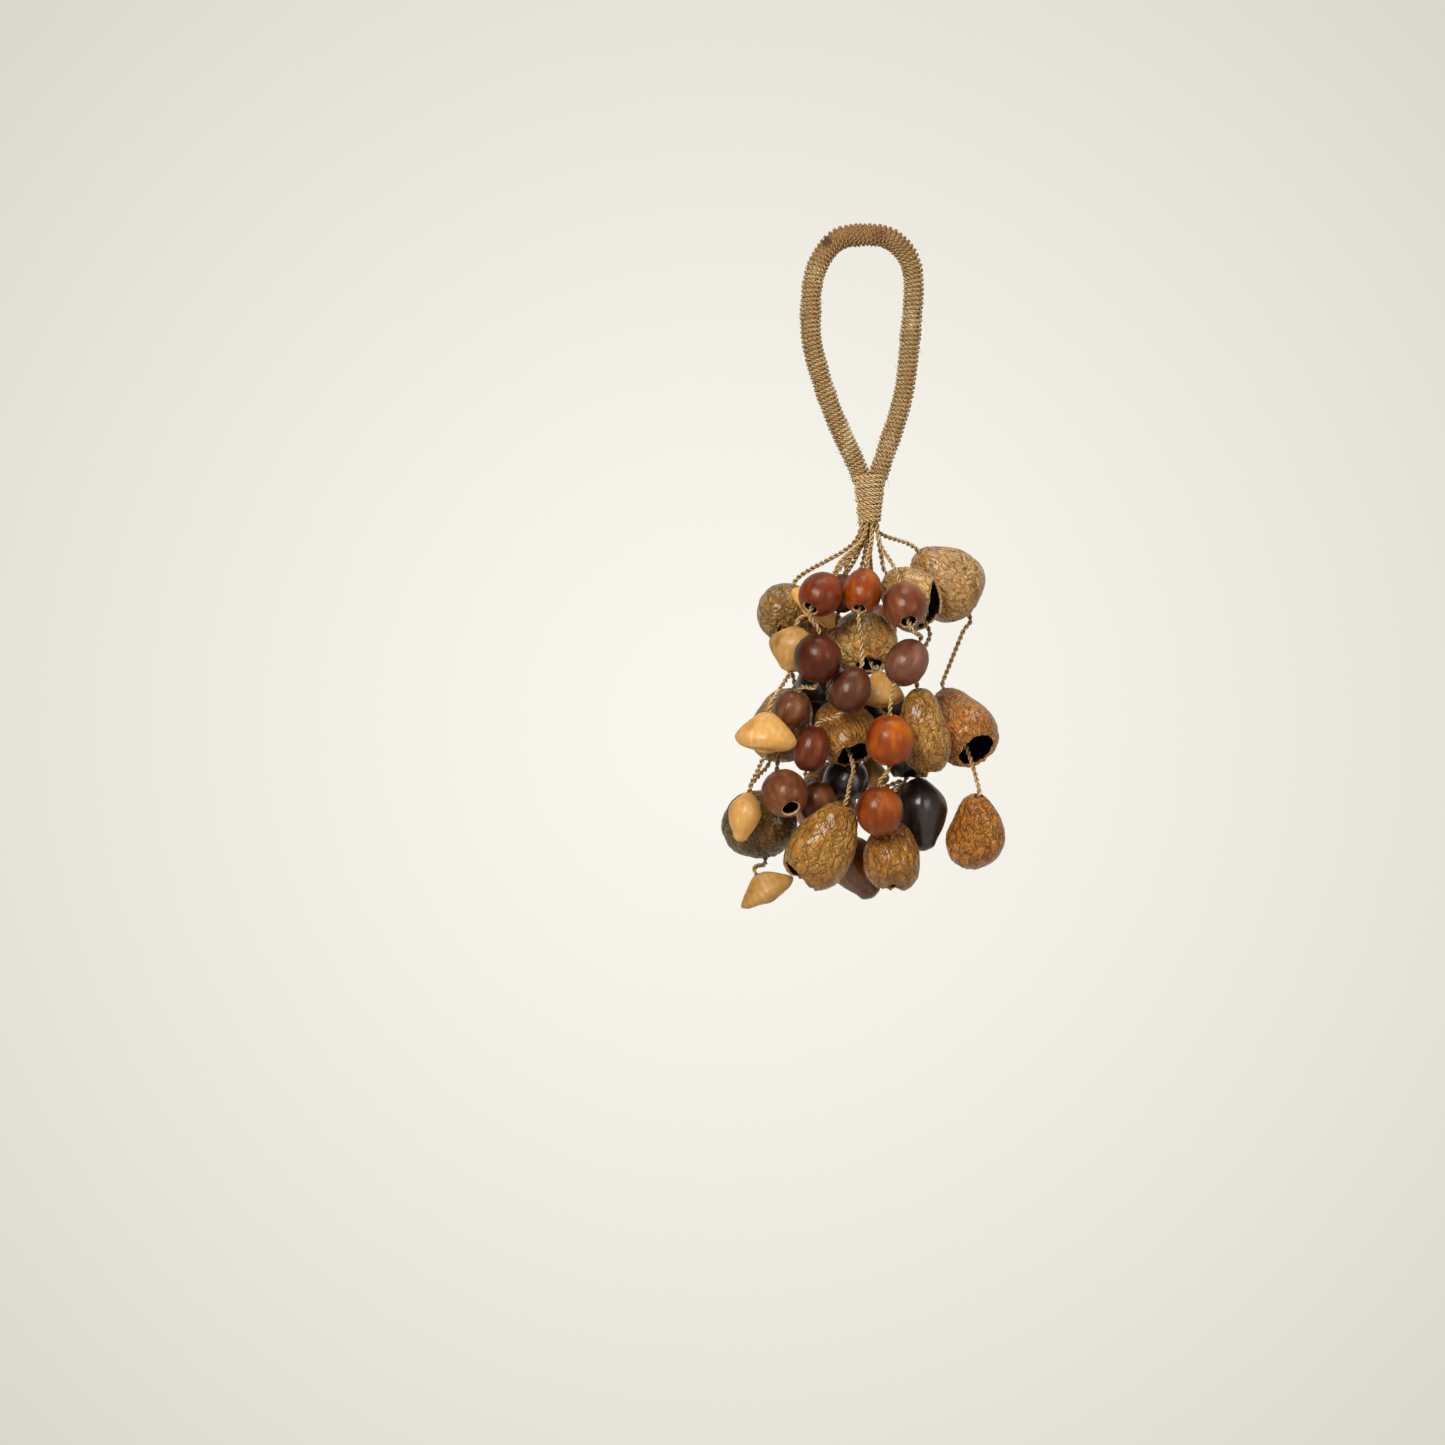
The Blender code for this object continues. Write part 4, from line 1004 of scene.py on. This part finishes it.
# %% Finishes of shells, seeds and nuts
def shell_finish(name, crease, body, ridge, grain=205.0, stretch=0.45, wander=0.007):
    """grain is the cracks' count in a metre, stretch how they are drawn out along the nut."""
    finish = Finish(name)
    skin = finish.vector("skin")
    height = finish.number("height")
    part = finish.number("part")
    patch = finish.cloud(skin, 60.0, 3.0)
    warped = finish.warped(skin, 170.0, wander)
    drawn = finish.drawn(warped, stretch)
    net = finish.cracks(drawn, grain)
    fine_net = finish.cracks(drawn, grain * 2.3)
    fine = finish.cloud(finish.drawn(warped, 0.3), 800.0, 4.0, 0.65)
    puffed = net.ramp(0.0, 0.34) * 0.9 + fine_net.ramp(0.0, 0.30) * 0.35 + fine * 0.55
    # Painted shade in the wrinkles' low creases and painted light on their ridges, through height,
    # mixed with random patches
    colour = finish.mixed((patch * 0.7 + fine * 0.3 + height * 0.12).ramp(0.40, 0.66), body, ridge)
    # The crack lines are partly the shells' own dark lines and partly painted shade in the sunk
    # creases
    line = net.ramp(0.010, 0.052, 1.0, 0.0) * patch.ramp(0.2, 0.6, 0.55, 1.0)
    thin_line = fine_net.ramp(0.0, 0.075, 1.0, 0.0) * patch.ramp(0.36, 0.62, 0.1, 0.6)
    crack_and_shade = line.most(thin_line)
    shade = finish.cloud(skin, 130.0, 2.0)
    colour = finish.mixed(shade.ramp(0.42, 0.62) * 0.35, colour, crease)
    colour = finish.mixed(crack_and_shade * 0.78, colour, crease)
    edge = part.ramp(0.985, 1.05) * part.ramp(1.80, 2.02, 1.0, 0.0)
    colour = finish.mixed(edge * 0.6, colour, ridge)
    # Painted shade: the inside is painted nearly black, from the lip inwards
    colour = finish.mixed(part.ramp(1.70, 2.10), colour, picked(16, 8, 4))
    rough = fine.ramp(0.3, 0.7, 0.36, 0.20) + crack_and_shade * 0.35
    finish.set(Base_Color=colour, Roughness=rough, Specular_Tint=(1.0, 0.80, 0.50))
    finish.set(Coat_Weight=(1 - crack_and_shade) * 0.40, Coat_Roughness=0.10)
    finish.raised(puffed, 1.0, 0.0013)
    return finish.material


def seed_finish(name, dark, body, pale):
    finish = Finish(name)
    skin = finish.vector("skin")
    part = finish.number("part")
    streak = finish.cloud(finish.drawn(skin, 0.16), 300.0, 4.0, 0.6)
    patch = finish.cloud(finish.drawn(skin, 0.6), 75.0, 2.0)
    speck = finish.cloud(skin, 1100.0, 2.0)
    tone = patch * 0.7 + streak * 0.3
    colour = finish.mixed(tone.ramp(0.34, 0.54), dark, body)
    colour = finish.mixed(tone.ramp(0.50, 0.70, 0.0, 0.85), colour, pale)
    colour = finish.mixed(speck.ramp(0.68, 0.76) * 0.35, colour, pale)
    edge = part.ramp(0.99, 1.10) * part.ramp(1.60, 1.95, 1.0, 0.0)
    rim = finish.mixed(speck.ramp(0.40, 0.60), picked(150, 108, 70), picked(206, 172, 130))
    colour = finish.mixed(edge, colour, rim)
    # Painted shade: the seed's inside is painted nearly black, from the lip inwards
    colour = finish.mixed(part.ramp(1.70, 2.05), colour, picked(26, 12, 8))
    rough = tone.ramp(0.3, 0.7, 0.34, 0.48)
    finish.set(Base_Color=colour, Roughness=rough, Specular_IOR_Level=0.35)
    finish.set(Specular_Tint=(1.0, 0.78, 0.55), Coat_Weight=0.15, Coat_Roughness=0.16)
    finish.raised(streak * 0.6 + speck * 0.4, 0.25, 0.0003)
    return finish.material


def smooth_finish(name, dark, body, pale, rough, coat):
    finish = Finish(name)
    skin = finish.vector("skin")
    part = finish.number("part")
    patch = finish.cloud(skin, 70.0, 4.0)
    grain = finish.cloud(finish.drawn(skin, 0.3), 380.0, 3.0)
    colour = finish.mixed((patch * 0.7 + grain * 0.3).ramp(0.36, 0.52), dark, body)
    colour = finish.mixed((patch * 0.4 + grain * 0.6).ramp(0.50, 0.68, 0.0, 0.7), colour, pale)
    # Painted shade: the bore, the knot's pocket and a husk's inside are painted dark
    colour = finish.mixed(part.ramp(1.90, 2.05), colour, picked(40, 26, 14))
    finish.set(Base_Color=colour, Roughness=rough, Coat_Weight=coat, Coat_Roughness=0.2)
    finish.raised(grain, 0.18, 0.0003)
    return finish.material


LOOKS = {
    "tan_shell": (shell_finish, (60, 29, 6), (180, 122, 54), (227, 179, 112)),
    "warm_shell": (shell_finish, (55, 21, 2), (163, 97, 28), (209, 146, 67)),
    "striped_shell": (shell_finish, (55, 23, 2), (170, 102, 31), (223, 155, 75), 520, 0.1, 0.002),
    "orange_shell": (shell_finish, (60, 24, 2), (172, 100, 38), (212, 148, 84), 420, 0.14, 0.003),
    "olive_shell": (shell_finish, (40, 22, 3), (149, 102, 36), (203, 149, 76)),
    "dark_shell": (shell_finish, (15, 7, 1), (72, 47, 16), (118, 88, 45)),
    "mahogany": (seed_finish, (48, 9, 1), (99, 34, 9), (137, 68, 35)),
    "rust": (seed_finish, (81, 23, 0), (140, 57, 1), (181, 94, 16)),
    "plum": (seed_finish, (54, 20, 9), (101, 50, 28), (137, 86, 56)),
    "grey_plum": (seed_finish, (65, 30, 20), (108, 62, 45), (146, 100, 80)),
    "deep_mahogany": (seed_finish, (31, 5, 0), (74, 22, 6), (110, 50, 27)),
    "peach_nut": (smooth_finish, (184, 129, 63), (215, 156, 78), (232, 189, 120), 0.42, 0.12),
    "tan_nut": (smooth_finish, (145, 99, 42), (188, 138, 66), (216, 173, 99), 0.46, 0.1),
    "black_husk": (smooth_finish, (14, 7, 6), (34, 22, 20), (66, 52, 50), 0.34, 0.3),
    "olive_husk": (smooth_finish, (44, 20, 0), (84, 48, 8), (112, 76, 30), 0.38, 0.2),
}


def finish_of(nut):
    """The finish of the nut's look, in its own tone."""
    maker, *colours = LOOKS[nut.look][:4]
    tone = np.array(*nut.tone or [1.0])
    toned = [tuple(np.minimum(picked(*colour) * tone, 0.9).tolist()) for colour in colours]
    return maker(nut.name + "_" + nut.look, *toned, *LOOKS[nut.look][4:])


print("looks:", len(LOOKS))

# %% [markdown]
# Now each nut gets its form and its finish. Shells are wrinkled most, seeds are nearly smooth, and
# the flat-sided nuts and the husks are smooth with slow lumps.

# %% Dress the nuts
# Steps round, rows down, relief, lumps and a wrinkle's size in m, its stretch, ragged lip in m
SKINS = {
    "shell": (120, 72, 0.45 * MM, 1.5 * MM, 4.2 * MM, 1.9, 2.4 * MM),
    "seed": (72, 40, 0.22 * MM, 0.5 * MM, 3.0 * MM, 2.6, 0.5 * MM),
    "husk": (72, 40, 0.25 * MM, 1.0 * MM, 5.0 * MM, 2.0, 1.5 * MM),
}
SKINS |= dict.fromkeys(("wedge", "drop"), (72, 44, 0.15 * MM, 0.8 * MM, 4.0 * MM, 2.0))
slots = {part["node"]: part["material_slot"] for part in frame["record"]["subparts"]}
counts = {}
for name, nut in nuts.items():
    mesh = dressed(nut, *SKINS[nut.kind])
    mesh.materials.append(finish_of(nut))
    shown(name + "_skin", mesh, slots[name], name)
    counts[nut.kind] = counts.get(nut.kind, 0) + triangles(mesh)
print("triangles by kind:", counts)
